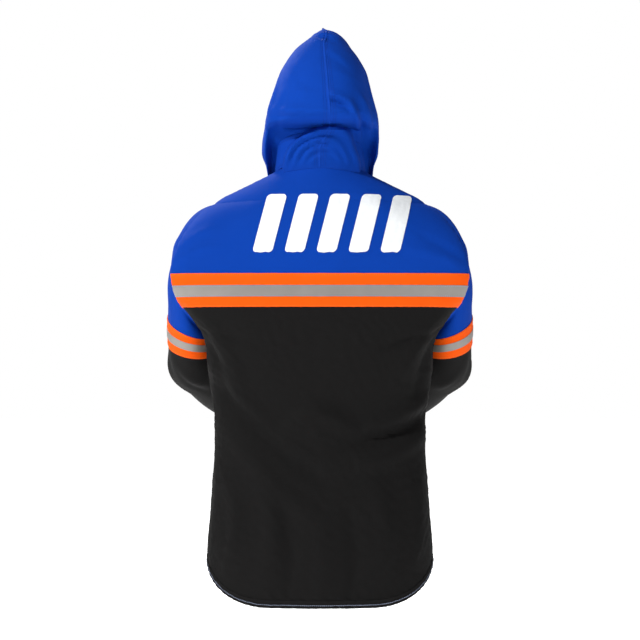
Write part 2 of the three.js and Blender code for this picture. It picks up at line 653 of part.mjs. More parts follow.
// The storm flap's cross-section: an arch over the zip, resting on the front at both edges.
function flapSection(x) {
  const t = (x - FLAP_RIGHT) / (FLAP_LEFT - FLAP_RIGHT);
  return FLAP_SETTLE - (FLAP_RISE - FLAP_T) * Math.sin(Math.PI * t) ** 0.8;
}

function stormFlap() {
  const steps = 10;
  const xs = Array.from({ length: steps + 1 }, (_, i) => FLAP_RIGHT + (FLAP_LEFT - FLAP_RIGHT) * i / steps);
  const ring = (z) => [...xs.map((x) => V(x, flapSection(x) - FLAP_T, z)),
    ...[...xs].reverse().map((x) => V(x, flapSection(x), z))];
  const arch = solidBetween(ring(flapBottom), ring(flapTop));
  add('storm_flap', onFront(arch), BLACK);
  const studX = FLAP_RIGHT + 12;
  const length = flapTop - flapBottom;
  const before = flapSection(studX - 1) - FLAP_T;
  const after = flapSection(studX + 1) - FLAP_T;
  const way = V(after - before, -2, 0).normalize();
  for (let i = 0; i < FLAP_STUDS; i += 1) {
    const z = flapTop - length * (0.06 + 0.86 * i / (FLAP_STUDS - 1));
    const at = V(studX, (before + after) / 2, z).addScaledVector(way, SEAM);
    add(`storm_flap_stud_${i + 1}`, onFront(stud(at, way)), METAL);
  }
}

// A prism between two equal outlines that may be hollow on one side.
function solidBetween(low, high) {
  const shape = new THREE.Shape(low.map((p) => new THREE.Vector2(p.x, p.y)));
  const geometry = new THREE.ExtrudeGeometry(shape, { depth: high[0].z - low[0].z, bevelEnabled: false });
  return solid(geometry, moved(0, 0, low[0].z));
}

// ---- chest pockets ----

const LID_GAP = 0.6;        // pocket to its flap
const LID_ABOVE = 4;        // how far the flap's top edge is above the pocket's mouth
const LID_STUD_UP = 13;     // the stud's height above the flap's lower edge

// The space in front of the body between two widths and two heights.
const frontBox = (x0, x1, z0, z1) => block([x0, -FAR / 2, z0], [x1, 0, z1]);

function pockets() {
  const low = POCKET_TOP_Z - POCKET_H;
  const inner = POCKET_X - POCKET_W / 2;
  const outer = POCKET_X + POCKET_W / 2;
  const tray = bodySolid(POCKET_DEPTH, 0).subtract(bodySolid(SEAM, 0))
    .intersect(frontBox(inner, outer, low, POCKET_TOP_Z));
  const room = bodySolid(POCKET_DEPTH - POCKET_WALL, 0).intersect(
    frontBox(inner + POCKET_WALL, outer - POCKET_WALL, low + POCKET_WALL, POCKET_TOP_Z + FAR / 2));
  const lidTop = POCKET_TOP_Z + LID_ABOVE;
  const lidLow = lidTop - POCKET_FLAP_H;
  const lidFrom = POCKET_DEPTH + LID_GAP;
  const lid = bodySolid(lidFrom + CLOTH, 0).subtract(bodySolid(lidFrom, 0))
    .intersect(frontBox(inner - POCKET_FLAP_OVERHANG, outer + POCKET_FLAP_OVERHANG, lidLow, lidTop));
  const { point, way } = surfacePoint(POCKET_X, lidLow + LID_STUD_UP, lidFrom + CLOTH);
  const button = stud(point.clone().addScaledVector(way, SEAM), way);
  SIDES.forEach(([side, sign]) => {
    add(`chest_pocket_${side}`, sided(tray.subtract(room), sign), BLACK);
    add(`pocket_flap_${side}`, sided(lid, sign), BLACK);
    add(`pocket_stud_${side}`, sided(button, sign), METAL);
  });
}

// The point of the front surface, grown by a distance, at one x and z, and the way it faces.
function surfacePoint(x, z, grow) {
  const ring = bodyRing(z, grow, 0, 0);
  const i = ring.findIndex((p) => p.x > x);
  const [a, b] = [ring[i - 1], ring[i]];
  const t = (x - a.x) / (b.x - a.x);
  const point = a.clone().lerp(b, t);
  return { point, way: V(b.y - a.y, a.x - b.x, 0).normalize() };
}

// ---- hanger loop inside the neck, and the print on the yoke ----

const LOOP_OUTER = 15;      // the hanger loop's radii
const LOOP_INNER = 11.5;
const LOOP_THICK = 1.6;

function hangerLoop() {
  const back = COLLAR_BACK - CLOTH - LOOP_INNER * 0.1;
  const z = NECK_SLOPE * (back - NECK_BACK_Y) + COLLAR_HEIGHT / 2;
  const loop = new THREE.Shape();
  loop.absarc(0, 0, LOOP_OUTER, 0, Math.PI * 2);
  const hole = new THREE.Path();
  hole.absarc(0, 0, LOOP_INNER, 0, Math.PI * 2, true);
  loop.holes.push(hole);
  const geometry = new THREE.ExtrudeGeometry(loop, {
    depth: LOOP_THICK, bevelEnabled: false, curveSegments: 8,
  });
  const matrix = new THREE.Matrix4().makeRotationX(Math.PI / 2);
  matrix.premultiply(moved(0, back - 1.6, z));
  add('hanger_loop', solid(geometry, matrix), BLACK);
}

const PRINT_BARS = 5;
const PRINT_HALF = 140;
const PRINT_TOP = -58;
const PRINT_HEIGHT = 104;
const PRINT_SLANT = 26;       // how far each bar leans over its height
const PRINT_FILM = 0.5;
const PRINT_FILL = 0.62;      // the bar's share of its pitch

function yokePrint() {
  const skin = bodySolid(SEAM + PRINT_FILM, 0).subtract(bodySolid(SEAM, 0));
  const pitch = PRINT_HALF * 2 / PRINT_BARS;
  for (let i = 0; i < PRINT_BARS; i += 1) {
    const x = -PRINT_HALF + pitch * i;
    const shape = new THREE.Shape();
    shape.moveTo(x, PRINT_TOP - PRINT_HEIGHT);
    shape.lineTo(x + pitch * PRINT_FILL, PRINT_TOP - PRINT_HEIGHT);
    shape.lineTo(x + pitch * PRINT_FILL - PRINT_SLANT, PRINT_TOP);
    shape.lineTo(x - PRINT_SLANT, PRINT_TOP);
    add(`yoke_print_${i + 1}`, skin.intersect(plateXZ(shape, 1, FAR / 2)), WHITE);
  }
}

bodyPanels();
bodyTapes();
sleeves();
collarAndHood();
zip();
stormFlap();
pockets();
hangerLoop();
yokePrint();

export default jacket;
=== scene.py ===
"""The looks of a hooded two-tone work jacket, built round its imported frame.

Shapes are worked out in millimetres and become metres when a mesh is made.
+Z is up, the front faces -Y and the wearer's left is +X.
"""

import math

import bmesh
import bpy
import numpy as np
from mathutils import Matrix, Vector


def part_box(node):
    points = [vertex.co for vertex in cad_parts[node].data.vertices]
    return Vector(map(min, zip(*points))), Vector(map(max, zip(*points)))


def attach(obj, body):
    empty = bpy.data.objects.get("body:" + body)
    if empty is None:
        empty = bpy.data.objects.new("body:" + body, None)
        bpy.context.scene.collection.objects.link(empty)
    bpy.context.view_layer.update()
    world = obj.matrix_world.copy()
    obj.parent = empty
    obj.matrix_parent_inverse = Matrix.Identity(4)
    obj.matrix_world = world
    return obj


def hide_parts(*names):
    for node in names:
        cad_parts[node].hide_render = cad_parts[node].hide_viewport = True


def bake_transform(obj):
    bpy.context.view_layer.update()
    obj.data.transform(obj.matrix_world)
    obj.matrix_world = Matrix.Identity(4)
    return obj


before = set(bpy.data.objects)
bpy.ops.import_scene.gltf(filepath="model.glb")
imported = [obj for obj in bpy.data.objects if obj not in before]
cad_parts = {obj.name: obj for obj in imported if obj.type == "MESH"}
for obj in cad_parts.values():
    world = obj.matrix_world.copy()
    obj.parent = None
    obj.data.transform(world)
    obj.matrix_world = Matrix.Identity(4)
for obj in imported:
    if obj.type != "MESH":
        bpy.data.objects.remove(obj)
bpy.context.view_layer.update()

MM = 0.001
UV_NAME = "cloth"

# ---- driving dimensions, as the frame has them ----

CLOTH = 2.0                 # thickness of a cloth wall, rolled edges included
HEM_Z = -786
HEM_CORNER_W = 116
HEM_CORNER_H = 88
SIDE_HALF = 206
HEM_DEPTH = 14              # the turned-up hem

NECK_BACK_Y = 55
NECK_SLOPE = 0.3
FRONT_TOP_Y = -96
FRONT_TOP_Z = -45
FRONT_LEAN = 0.036

TAPE_TOP_Z = -199
TAPE_WIDTH = 61
SILVER_WIDTH = 20
YOKE_SEAM_Z = TAPE_TOP_Z - TAPE_WIDTH / 2

ARM_X = 196
ARM_Z = -190
ARM_UP = 120
ARM_DOWN = 100
ARM_HALF = 104
ARM_YAW = math.radians(42)
ARM_OUT = np.array([math.cos(ARM_YAW), -math.sin(ARM_YAW), 0])
ARM_BACK = np.array([math.sin(ARM_YAW), math.cos(ARM_YAW), 0])
ARMHOLE_TOP = ARM_Z + ARM_UP
ARMHOLE_LOW = ARM_Z - ARM_DOWN

ZIP_HALF = 13
POCKET_X = 92
POCKET_W = 110
POCKET_H = 138
POCKET_TOP_Z = -302
POCKET_DEPTH = 12
POCKET_FLAP_H = 50
POCKET_FLAP_OVERHANG = 4

COLLAR_HEIGHT = 52
COLLAR_HALF_W = 84
COLLAR_BACK = 62
HOOD_FACE_Y = -84
HOOD_BAND = 20

SIDES = (("left", 1), ("right", -1))

# Layers sewn on the cloth: how far each stands off it and how thick it is.
HEM_LAYER = {"lift": 1.0, "thick": 0.9}
TAPE_LAYER = {"lift": 1.3, "thick": 1.1}
SILVER_LAYER = {"lift": 1.9, "thick": 0.5}
PRINT_LAYER = {"lift": 1.2, "thick": 0.7, "roll": 0.2}
STITCH_LIFT = 0.1
ON_HEM = 1.1
ON_TAPE = 1.4
ON_SILVER = 2.0
FINE_STITCH = 0.38          # radius of the thinner thread


def cubic(a, b, slope_a, slope_b, h, t):
    """From a to b over a step h, with these slopes at its ends."""
    return (a * (1 + 2 * t) * (1 - t) ** 2 + slope_a * h * t * (1 - t) ** 2
            + b * t * t * (3 - 2 * t) + slope_b * h * t * t * (t - 1))


def along(pairs):
    """A smooth value along (place, value) pairs, which never overshoots its neighbours."""
    xs, vs = np.array(sorted(pairs), float).T
    step = np.diff(xs)
    rise = np.diff(vs) / step
    slope = np.zeros(len(xs))
    same = rise[:-1] * rise[1:] > 0
    slope[1:-1][same] = 2 * (rise[:-1] * rise[1:])[same] / (rise[:-1] + rise[1:])[same]

    def value(place):
        p = np.clip(place, xs[0], xs[-1])
        i = np.clip(np.searchsorted(xs, p, side="right") - 1, 0, len(step) - 1)
        h = step[i]
        t = (p - xs[i]) / h
        return cubic(vs[i], vs[i + 1], slope[i], slope[i + 1], h, t)

    return value


def ramp(value, low, high):
    """0 at low, 1 at high and smooth between."""
    t = np.clip((value - low) / (high - low), 0, 1)
    return t * t * (3 - 2 * t)


def unit(v):
    size = np.linalg.norm(v, axis=-1, keepdims=True)
    return v / np.maximum(size, 1e-9)


def solve(low, high, test):
    """The heights between low and high where test turns from negative to positive, by halving."""
    for _ in range(40):
        middle = (low + high) / 2
        above = test(middle) > 0
        high = np.where(above, middle, high)
        low = np.where(above, low, middle)
    return (low + high) / 2


# ---- surfaces as grids ----

class Skin:
    """A grid of surface points with its normals and its flat lengths, read anywhere between its lines."""

    def __init__(self, points, closed=False, facing=None):
        self.p = np.asarray(points, float)
        self.closed = closed
        if closed:
            across = np.roll(self.p, -1, 1) - np.roll(self.p, 1, 1)
        else:
            across = np.gradient(self.p, axis=1)
        down = np.gradient(self.p, axis=0)
        normal = unit(np.cross(across, down))
        if facing is None:
            facing = self.p - self.p.mean(axis=1, keepdims=True)
        self.turned = float((normal * facing).sum()) < 0
        self.n = -normal if self.turned else normal
        steps = np.linalg.norm(np.diff(self.p, axis=1), axis=-1).mean(0)
        drops = np.linalg.norm(np.diff(self.p, axis=0), axis=-1).mean(1)
        u = np.concatenate([[0], np.cumsum(steps)])
        v = np.concatenate([[0], np.cumsum(drops)])
        self.uv = np.stack(np.meshgrid(u - u[-1] / 2, -v), -1)

    def sample(self, rows, cols):
        rows, cols = np.broadcast_arrays(np.asarray(rows, float), np.asarray(cols, float))
        height, width = self.p.shape[:2]
        r0 = np.clip(np.floor(rows), 0, height - 2).astype(int)
        fr = (rows - r0)[..., None]
        if self.closed:
            c0 = np.floor(cols).astype(int)
            fc = (cols - c0)[..., None]
            c0 %= width
            c1 = (c0 + 1) % width
        else:
            c0 = np.clip(np.floor(cols), 0, width - 2).astype(int)
            fc = (cols - c0)[..., None]
            c1 = c0 + 1

        def read(a):
            top = a[r0, c0] * (1 - fc) + a[r0, c1] * fc
            low = a[r0 + 1, c0] * (1 - fc) + a[r0 + 1, c1] * fc
            return top * (1 - fr) + low * fr

        return read(self.p), unit(read(self.n)), read(self.uv)

    def line(self, rows, cols, lift=STITCH_LIFT):
        """A line standing off the skin, and its normals."""
        p, n, _ = self.sample(rows, cols)
        return p + n * lift, n


def tube_faces(rings, sides, closed=False):
    """Quads between rings of points, which may close into a loop."""
    total = rings * sides
    return [(i * sides + k, i * sides + (k + 1) % sides,
             ((i + 1) * sides + (k + 1) % sides) % total, ((i + 1) * sides + k) % total)
            for i in range(rings if closed else rings - 1) for k in range(sides)]


def mesh_from(name, points, faces, material, uv=None, edge=None, sharp=50):
    """An object from points in millimetres."""
    mesh = bpy.data.meshes.new(name)
    mesh.from_pydata((np.asarray(points) * MM).tolist(), [], faces)
    mesh.materials.append(material)
    if uv is not None:
        layer = mesh.uv_layers.new(name=UV_NAME)
        loops = np.zeros(len(mesh.loops), np.int32)
        mesh.loops.foreach_get("vertex_index", loops)
        layer.uv.foreach_set("vector", (np.asarray(uv)[loops] * MM).astype(np.float32).ravel())
    if edge is not None:
        attribute = mesh.attributes.new("edge", "FLOAT", "POINT")
        attribute.data.foreach_set("value", np.asarray(edge, np.float32))
    mesh.polygons.foreach_set("use_smooth", [True] * len(mesh.polygons))
    mesh.set_sharp_from_angle(angle=math.radians(sharp))
    obj = bpy.data.objects.new(name, mesh)
    bpy.context.collection.objects.link(obj)
    return obj


RUBBED_WIDTH = 5             # how far in from an edge the wear fades away


def panel(name, skin, rows, cols, material, lift=0.0, thick=CLOTH, wrap=False, roll=0.35):
    """A piece of cloth over part of a skin, with two faces and a rolled edge all round."""
    rows, cols = np.asarray(rows, float), np.asarray(cols, float)
    if rows.ndim == 1:
        rows = rows[:, None]
    if cols.ndim == 1:
        cols = cols[None, :]
    p, n, uv = skin.sample(rows, cols)
    high, wide = p.shape[:2]
    outer = p + n * lift
    inner = p + n * (lift - thick)
    count = high * wide
    index = np.arange(count).reshape(high, wide)
    right = np.roll(index, -1, 1) if wrap else index[:, 1:]
    left = index if wrap else index[:, :-1]
    quads = np.stack([left[:-1], left[1:], right[1:], right[:-1]], -1).reshape(-1, 4)
    if not skin.turned:
        quads = quads[:, ::-1]
    faces = [*quads.tolist(), *(quads[:, ::-1] + count).tolist()]
    if wrap:
        borders = [(index[0], index[1]), (index[-1][::-1], index[-2][::-1])]
    else:
        border = np.concatenate([index[0, :-1], index[:-1, -1], index[-1, :0:-1], index[:0:-1, 0]])
        inset = np.concatenate([index[1, :-1], index[:-1, -2], index[-2, :0:-1], index[:0:-1, 1]])
        borders = [(border, inset)]
    points = [outer.reshape(-1, 3), inner.reshape(-1, 3)]
    flat = uv.reshape(-1, 2)
    uvs = [flat, flat]
    total = 2 * count
    for border, inset in borders:
        away = unit(p.reshape(-1, 3)[border] - p.reshape(-1, 3)[inset])
        middle = (points[0][border] + points[1][border]) / 2 + away * thick * roll
        points.append(middle)
        uvs.append(flat[border])
        ring = np.arange(len(border)) + total
        total += len(border)
        following = np.roll(np.arange(len(border)), -1)
        for a, b, c, d in ((border, border[following], ring[following], ring),
                           (ring, ring[following], border[following] + count, border + count)):
            strip = np.stack([a, b, c, d], -1)
            faces += (strip if skin.turned else strip[:, ::-1]).tolist()
    gap_v = np.minimum(abs(uv[..., 1] - uv[:1, :, 1]), abs(uv[..., 1] - uv[-1:, :, 1]))
    gap_u = np.minimum(abs(uv[..., 0] - uv[:, :1, 0]), abs(uv[..., 0] - uv[:, -1:, 0]))
    gap = gap_v if wrap else np.minimum(gap_u, gap_v)
    near = np.exp(-gap / RUBBED_WIDTH).reshape(-1)
    edge = np.concatenate([near, near, np.ones(total - 2 * count)])
    return mesh_from(name, np.concatenate(points), faces, material, np.concatenate(uvs), edge)


def whole(name, skin, material, **how):
    """A panel over all of a skin."""
    rows, cols = skin.p.shape[:2]
    return panel(name, skin, np.arange(rows), np.arange(cols), material, **how)


def framed(skin, rows, cols, at_cols, at_rows):
    """Stitch lines down a skin at some columns and across it at some rows."""
    return [skin.line(rows, col) for col in at_cols] + [skin.line(row, cols) for row in at_rows]


def stitching(name, lines, material, pitch=3.8, length=2.7, radius=0.42):
    """Separate raised stitches along lines of (points, normals)."""
    points, faces = [], []
    base = 0
    for path, normals in lines:
        steps = np.linalg.norm(np.diff(path, axis=0), axis=-1)
        run = np.concatenate([[0], np.cumsum(steps)])
        count = int(run[-1] / pitch)
        if count < 1:
            continue
        middles = (np.arange(count) + 0.5) * run[-1] / count

        def read(values, at):
            return np.stack([np.interp(at, run, values[:, k]) for k in range(3)], -1)

        ends = [read(path, middles - length / 2), read(path, middles), read(path, middles + length / 2)]
        way = unit(ends[2] - ends[0])
        up = unit(read(normals, middles))
        side = np.cross(way, up)
        for place, rise, size in zip(ends, (-0.1, 0.3, -0.1), (0.5, 1.0, 0.5)):
            middle = place + up * rise
            for across, over in ((1, 0), (0, 1), (-1, 0), (0, -1)):
                points.append(middle + side * across * radius * size + up * over * radius * size)
        block = np.stack(points[-12:], 1).reshape(-1, 3)
        del points[-12:]
        points.append(block)
        pattern = []
        for s in range(2):
            for k in range(4):
                a, b = s * 4 + k, s * 4 + (k + 1) % 4
                pattern.append((a, b, b + 4, a + 4))
        pattern += [(3, 2, 1, 0), (8, 9, 10, 11)]
        starts = base + np.arange(count) * 12
        faces += (np.array(pattern)[None] + starts[:, None, None]).reshape(-1, 4).tolist()
        base += count * 12
    return mesh_from(name, np.concatenate(points), faces, material)


# ---- how pieces move ----

def riding(body):
    return lambda obj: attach(obj, body)


def bending(start, end):
    start, end = (tuple(float(v) * MM for v in p) for p in (start, end))
    return lambda obj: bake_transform(obj)


def place(obj, hold, slot, *nodes):
    """Passes a piece to its hold, which joins it to a body or fixes its place, and hides the frame's nodes
    that it stands for. slot, its finish, is not used.
    """
    hold(obj)
    if nodes:
        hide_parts(*nodes)
    return obj


# ---- the body's surface ----

# Each curve is height and value: half the width, the back's y, the side's y and the corners' squareness.
body_half = along([
    (16, 36), (3, 62), (-16, 91), (-32, 123), (-46, 152), (-60, 180), (-70, 192), (-84, ARM_X), (-290, ARM_X),
    (-320, 203), (-350, 205), (-389, 201), (-429, 195), (-460, 191), (-510, 191), (-573, 195), (-630, 199),
    (-690, SIDE_HALF - 2), (-830, SIDE_HALF),
])
body_back = along([
    (16, 52), (0, 64), (-32, 80), (-75, 98), (-110, 109), (-150, 117), (-200, 121), (-250, 121), (-300, 117),
    (-400, 103), (-460, 97), (-550, 106), (-640, 117), (-700, 121), (-830, 122),
])
side_y = along([(0, 0), (-290, 0), (-320, 10), (-360, 18), (-830, 20)])
front_square = along([(0, 2), (-50, 1.7), (-75, 1.5), (-125, 1.6), (-190, 2.1), (-260, 2.25), (-830, 2.3)])
back_square = along([
    (0, 2), (-60, 1.8), (-110, 2), (-190, 2.25), (-250, 2.5), (-295, 3.3), (-340, 3.0), (-430, 2.4),
    (-830, 2.25),
])


def front_y(z):
    return FRONT_TOP_Y + FRONT_LEAN * (z - FRONT_TOP_Z)


def armhole_half(z):
    above = np.clip((z - ARM_Z) / ARM_UP, 0, 1)
    below = np.clip((ARM_Z - z) / ARM_DOWN, 0, 1)
    return ARM_HALF * np.where(z > ARM_Z, (1 - above ** 1.6) ** 0.8, np.sqrt(1 - below ** 2))


def body_arc(z, angle, back, grow=0.0):
    """The body's surface at a height, from its centre line at angle 0 to its side at a quarter turn."""
    half = armhole_half(z) * (1 if back else -1)
    rim_x = body_half(z) + ARM_BACK[0] * half
    rim_y = side_y(z) + ARM_BACK[1] * half
    end = body_back(z) + grow if back else front_y(z) - grow
    power = 2 / (back_square(z) if back else front_square(z))
    x = rim_x * np.clip(np.sin(angle), 0, 1) ** power
    y = rim_y + (end - rim_y) * np.clip(np.cos(angle), 0, 1) ** power
    return np.stack(np.broadcast_arrays(x, y, z), -1)


def inside_body(p, grow=0.0):
    """Below 1 inside the body's closed outline, 1 on it, with the arm openings filled."""
    z = p[..., 2]
    y = p[..., 1] - side_y(z)
    back = y > 0
    end = np.where(back, body_back(z) - side_y(z), side_y(z) - front_y(z)) + grow
    power = np.where(back, back_square(z), front_square(z))
    return (abs(p[..., 0]) / (body_half(z) + grow)) ** power + (abs(y) / end) ** power


def neck_height(angle, back):
    """Where a line down the body starts: on the slanted plane of the neck seam."""
    low, high = np.full(angle.shape, -60.0), np.full(angle.shape, 16.0)
    return solve(low, high, lambda z: z - NECK_SLOPE * (body_arc(z, angle, back)[..., 1] - NECK_BACK_Y))


def hem_height(angle, back):
    """Where a line down the body ends, on the shirt-tail hem."""
    z = np.full(angle.shape, float(HEM_Z + 40))
    for _ in range(20):
        x = body_arc(z, angle, back)[..., 0]
        part = np.clip((x - (SIDE_HALF - HEM_CORNER_W)) / HEM_CORNER_W, 0, 1)
        turn = np.arccos(part ** (1 / 0.9))
        z = HEM_Z + HEM_CORNER_H * (1 - np.sin(turn) ** 0.9)
    return z


UPPER_ROWS = 24
turns = np.linspace(0, math.pi / 2, 21)
MIDDLE_Z = np.concatenate([
    ARM_Z + ARM_UP * np.cos(turns[1:]),
    ARM_Z - ARM_DOWN * np.sin(turns[1:]),
    np.linspace(ARMHOLE_LOW, -600, 46)[1:],
])
hem_steps = np.concatenate([np.linspace(0, 0.9, 24)[1:], [0.92, 0.93, 0.94, 0.955, 0.97, 0.985, 0.995, 1]])


def body_heights(top, bottom):
    """Heights of the grid's rows for every column."""
    upper = top + (ARMHOLE_TOP - top) * np.linspace(0, 1, UPPER_ROWS)[:, None]
    middle = np.repeat(MIDDLE_Z[:, None], top.size, 1)
    lower = MIDDLE_Z[-1] + (bottom - MIDDLE_Z[-1]) * hem_steps[:, None]
    return np.concatenate([upper, middle, lower])


def row_at(z):
    """The fractional row of a height below the top of the armholes."""
    heights = np.concatenate([[ARMHOLE_TOP], MIDDLE_Z])
    return UPPER_ROWS - 1 + np.interp(-np.asarray(z, float), -heights, np.arange(len(heights)))


BACK_HALF = 46
share = np.linspace(-1, 1, 2 * BACK_HALF + 1)
back_angle = abs(share) ** 1.12 * math.pi / 2
back_z = body_heights(neck_height(back_angle, True), hem_height(back_angle, True))
back_grid = body_arc(back_z, back_angle, True)
back_grid[..., 0] *= np.sign(share)

FRONT_COLS = 40


def front_grid():
    """The wearer's left front, from the zip's edge to the side."""
    spread = np.linspace(0, 1, FRONT_COLS)
    angle = spread * math.pi / 2
    heights = body_heights(neck_height(angle, False), hem_height(angle, False))
    rim = body_arc(heights, np.full(heights.shape, math.pi / 2), False)[..., 0]
    power = 2 / front_square(heights)
    first = np.arcsin(np.clip((ZIP_HALF / rim) ** (1 / power), 0, 1))
    return body_arc(heights, first + (math.pi / 2 - first) * spread ** 1.05, False)


# ---- folds, laid into the surfaces as ridges and hollows ----

def bend_line(points, steps=24):
    """A curve through three points, bulging to the middle one."""
    a, b, c = (np.array(p, float) for p in points)
    t = np.linspace(0, 1, steps)[:, None]
    control = 2 * b - (a + c) / 2
    return a * (1 - t) ** 2 + 2 * control * t * (1 - t) + c * t * t


def crease(p, points, width, height, axes=(0, 2), sharp=0.55):
    """Height of one fold at each point: a soft ridge along a curve that fades at its ends."""
    curve = bend_line(points)
    spots = p[..., axes].reshape(-1, len(axes))
    gap = np.linalg.norm(spots[:, None] - curve[None], axis=-1)
    nearest = gap.argmin(1)
    fade = np.sin(np.pi * np.clip((nearest + 0.5) / len(curve), 0, 1)) ** sharp
    return (height * np.exp(-(gap.min(1) / width) ** 2) * fade).reshape(p.shape[:-1])


FOLD_DEPTH = 1.4


def folded(points, folds, sewn):
    """The grid moved along its normals by all its folds, which die away at the sewn columns."""
    skin = Skin(points)
    lift = sum(crease(points, line, width, height) for line, width, height in folds)
    gap = abs(np.arange(points.shape[1])[:, None] - np.array(sewn)[None, :]).min(1)
    return points + skin.n * (lift * FOLD_DEPTH * ramp(gap, 0, 5)[None, :])[..., None]


def settled(grid, held, grow=0.02, limit=4.5, frames=18):
    """The grid after a cloth simulation: the cloth grows a little between the places that hold it."""
    rows, cols = grid.shape[:2]
    faces = [(r * cols + c, r * cols + c + 1, (r + 1) * cols + c + 1, (r + 1) * cols + c)
             for r in range(rows - 1) for c in range(cols - 1)]
    mesh = bpy.data.meshes.new("settling")
    mesh.from_pydata((grid.reshape(-1, 3) / 1000).tolist(), [], faces)
    obj = bpy.data.objects.new("settling", mesh)
    bpy.context.collection.objects.link(obj)
    group = obj.vertex_groups.new(name="held")
    for index, weight in enumerate(np.broadcast_to(held, (rows, cols)).ravel().tolist()):
        group.add([index], weight, "REPLACE")
    cloth = obj.modifiers.new("Cloth", "CLOTH")
    settings = cloth.settings
    settings.vertex_group_mass = "held"
    settings.shrink_min = -grow
    settings.quality = 5
    settings.mass = 0.12
    settings.tension_stiffness = 20
    settings.compression_stiffness = 20
    settings.shear_stiffness = 6
    settings.bending_stiffness = 0.12
    settings.effector_weights.gravity = 0.4
    cloth.point_cache.frame_end = frames
    scene = bpy.context.scene
    for frame_number in range(1, frames + 1):
        scene.frame_set(frame_number)
    result = obj.evaluated_get(bpy.context.evaluated_depsgraph_get()).data
    places = np.empty(rows * cols * 3)
    result.vertices.foreach_get("co", places)
    move = places.reshape(rows, cols, 3) * 1000 - grid
    bpy.data.objects.remove(obj)
    bpy.data.meshes.remove(mesh)
    scene.frame_set(1)
    length = np.linalg.norm(move, axis=-1, keepdims=True)
    return grid + move * (limit * np.tanh(length / limit) / np.maximum(length, 1e-6))


TAPE_HOLD = 0.9
BELOW_TAPE_HOLD = 0.4        # the share of the tape's hold that is left below it
HEM_HOLD = 0.5


def edges_held(shape, tape, hem):
    """How firmly each point of a grid is held: the seams wholly, the tape mostly, the hem as given."""
    rows, cols = shape[:2]
    held = np.zeros((rows, cols)) + (TAPE_HOLD * tape)[:, None]
    held[:, [0, -1]] = 1
    held[0] = 1
    held[-1] = hem
    return held


# Each fold: start, middle and end in x and z, its width and its height.
BACK_FOLDS = [
    (((200, -372), (112, -470), (-10, -566)), 15, -6.5),
    (((196, -352), (128, -440), (40, -520)), 17, 5.0),
    (((182, -440), (110, -540), (10, -630)), 20, 4.5),
    (((-198, -440), (-137, -480), (-48, -498)), 12, -6.5),
    (((-196, -415), (-140, -452), (-70, -470)), 15, 5.0),
    (((-190, -478), (-130, -520), (-60, -535)), 16, 4.5),
    (((64, -486), (4, -446), (-62, -486)), 18, 6.0),
    (((30, -500), (6, -478), (-20, -505)), 34, 5.0),
    (((225, -266), (170, -330), (140, -410)), 15, 4.6),
    (((214, -290), (182, -360), (158, -440)), 10, -4.0),
    (((-225, -266), (-176, -322), (-140, -390)), 15, 5.0),
    (((-214, -290), (-186, -360), (-168, -430)), 10, -4.4),
    (((-208, -300), (-150, -318), (-100, -330)), 8, -2.6),
    (((208, -300), (160, -312), (110, -318)), 8, -2.2),
    (((110, -560), (84, -650), (104, -745)), 20, 4.6),
    (((70, -600), (50, -690), (64, -770)), 14, -3.6),
    (((-90, -560), (-116, -650), (-98, -750)), 20, 4.8),
    (((-44, -600), (-62, -690), (-50, -775)), 15, -3.8),
    (((10, -620), (-6, -700), (8, -780)), 22, 3.4),
    (((168, -560), (150, -640), (172, -725)), 14, 4.6),
    (((-162, -570), (-176, -640), (-160, -725)), 14, 4.4),
    (((-250, -188), (-205, -168), (-150, -156)), 8, 3.0),
    (((-255, -174), (-215, -150), (-175, -132)), 6, -2.4),
    (((250, -178), (215, -158), (165, -150)), 8, 3.0),
    (((242, -150), (210, -128), (180, -120)), 9, 2.4),
    (((40, -50), (100, -76), (150, -130)), 20, 2.2),
    (((-40, -48), (-100, -74), (-160, -120)), 20, 2.4),
]
FRONT_FOLDS = [
    (((196, -330), (140, -420), (70, -500)), 14, 5.0),
    (((190, -350), (150, -440), (100, -520)), 10, -4.2),
    (((150, -262), (130, -300), (110, -330)), 16, 2.0),
    (((110, -480), (92, -600), (112, -745)), 18, 5.2),
    (((80, -520), (70, -630), (78, -760)), 13, -4.0),
    (((48, -520), (44, -640), (54, -770)), 14, 4.2),
    (((160, -540), (152, -640), (168, -720)), 14, 4.8),
    (((120, -100), (90, -150), (60, -190)), 16, 3.4),
    (((150, -120), (128, -160), (110, -190)), 11, -2.6),
    (((70, -70), (60, -120), (50, -180)), 13, 2.6),
]


def mirrored(points):
    return points * np.array([-1.0, 1.0, 1.0])


def seam_dip(grid, depth=1.2, reach=2.0):
    """Pulls the first and last columns in a little, where a seam gathers the cloth."""
    columns = np.arange(grid.shape[1])
    near = np.minimum(columns, columns[::-1])
    fall = depth * np.exp(-(near / reach) ** 2)
    return grid - Skin(grid).n * fall[None, :, None]


def eased(grid, top=-252, low=-372, passes=90):
    """Softens the step under the armhole, away from the seams."""
    heights = grid[:, grid.shape[1] // 2, 2]
    there = ramp(-heights, -top, 16 - top) * (1 - ramp(-heights, -24 - low, -low))
    columns = np.arange(grid.shape[1])
    inner = ramp(np.minimum(columns, columns[::-1]), 0, 6)
    weight = (there[:, None] * inner[None, :])[1:-1, :, None]
    out = grid.copy()
    for _ in range(passes):
        middle = (out[:-2] + out[2:]) / 2
        out[1:-1] += (middle - out[1:-1]) * weight * 0.9
    return out


def body_settled(grid):
    """The torso's cloth, firm down to the tape and looser below it."""
    depths = -grid[:, grid.shape[1] // 2, 2]
    tape = 1 - (1 - BELOW_TAPE_HOLD) * ramp(depths, 262, 290)
    return settled(grid, edges_held(grid.shape, tape, HEM_HOLD))


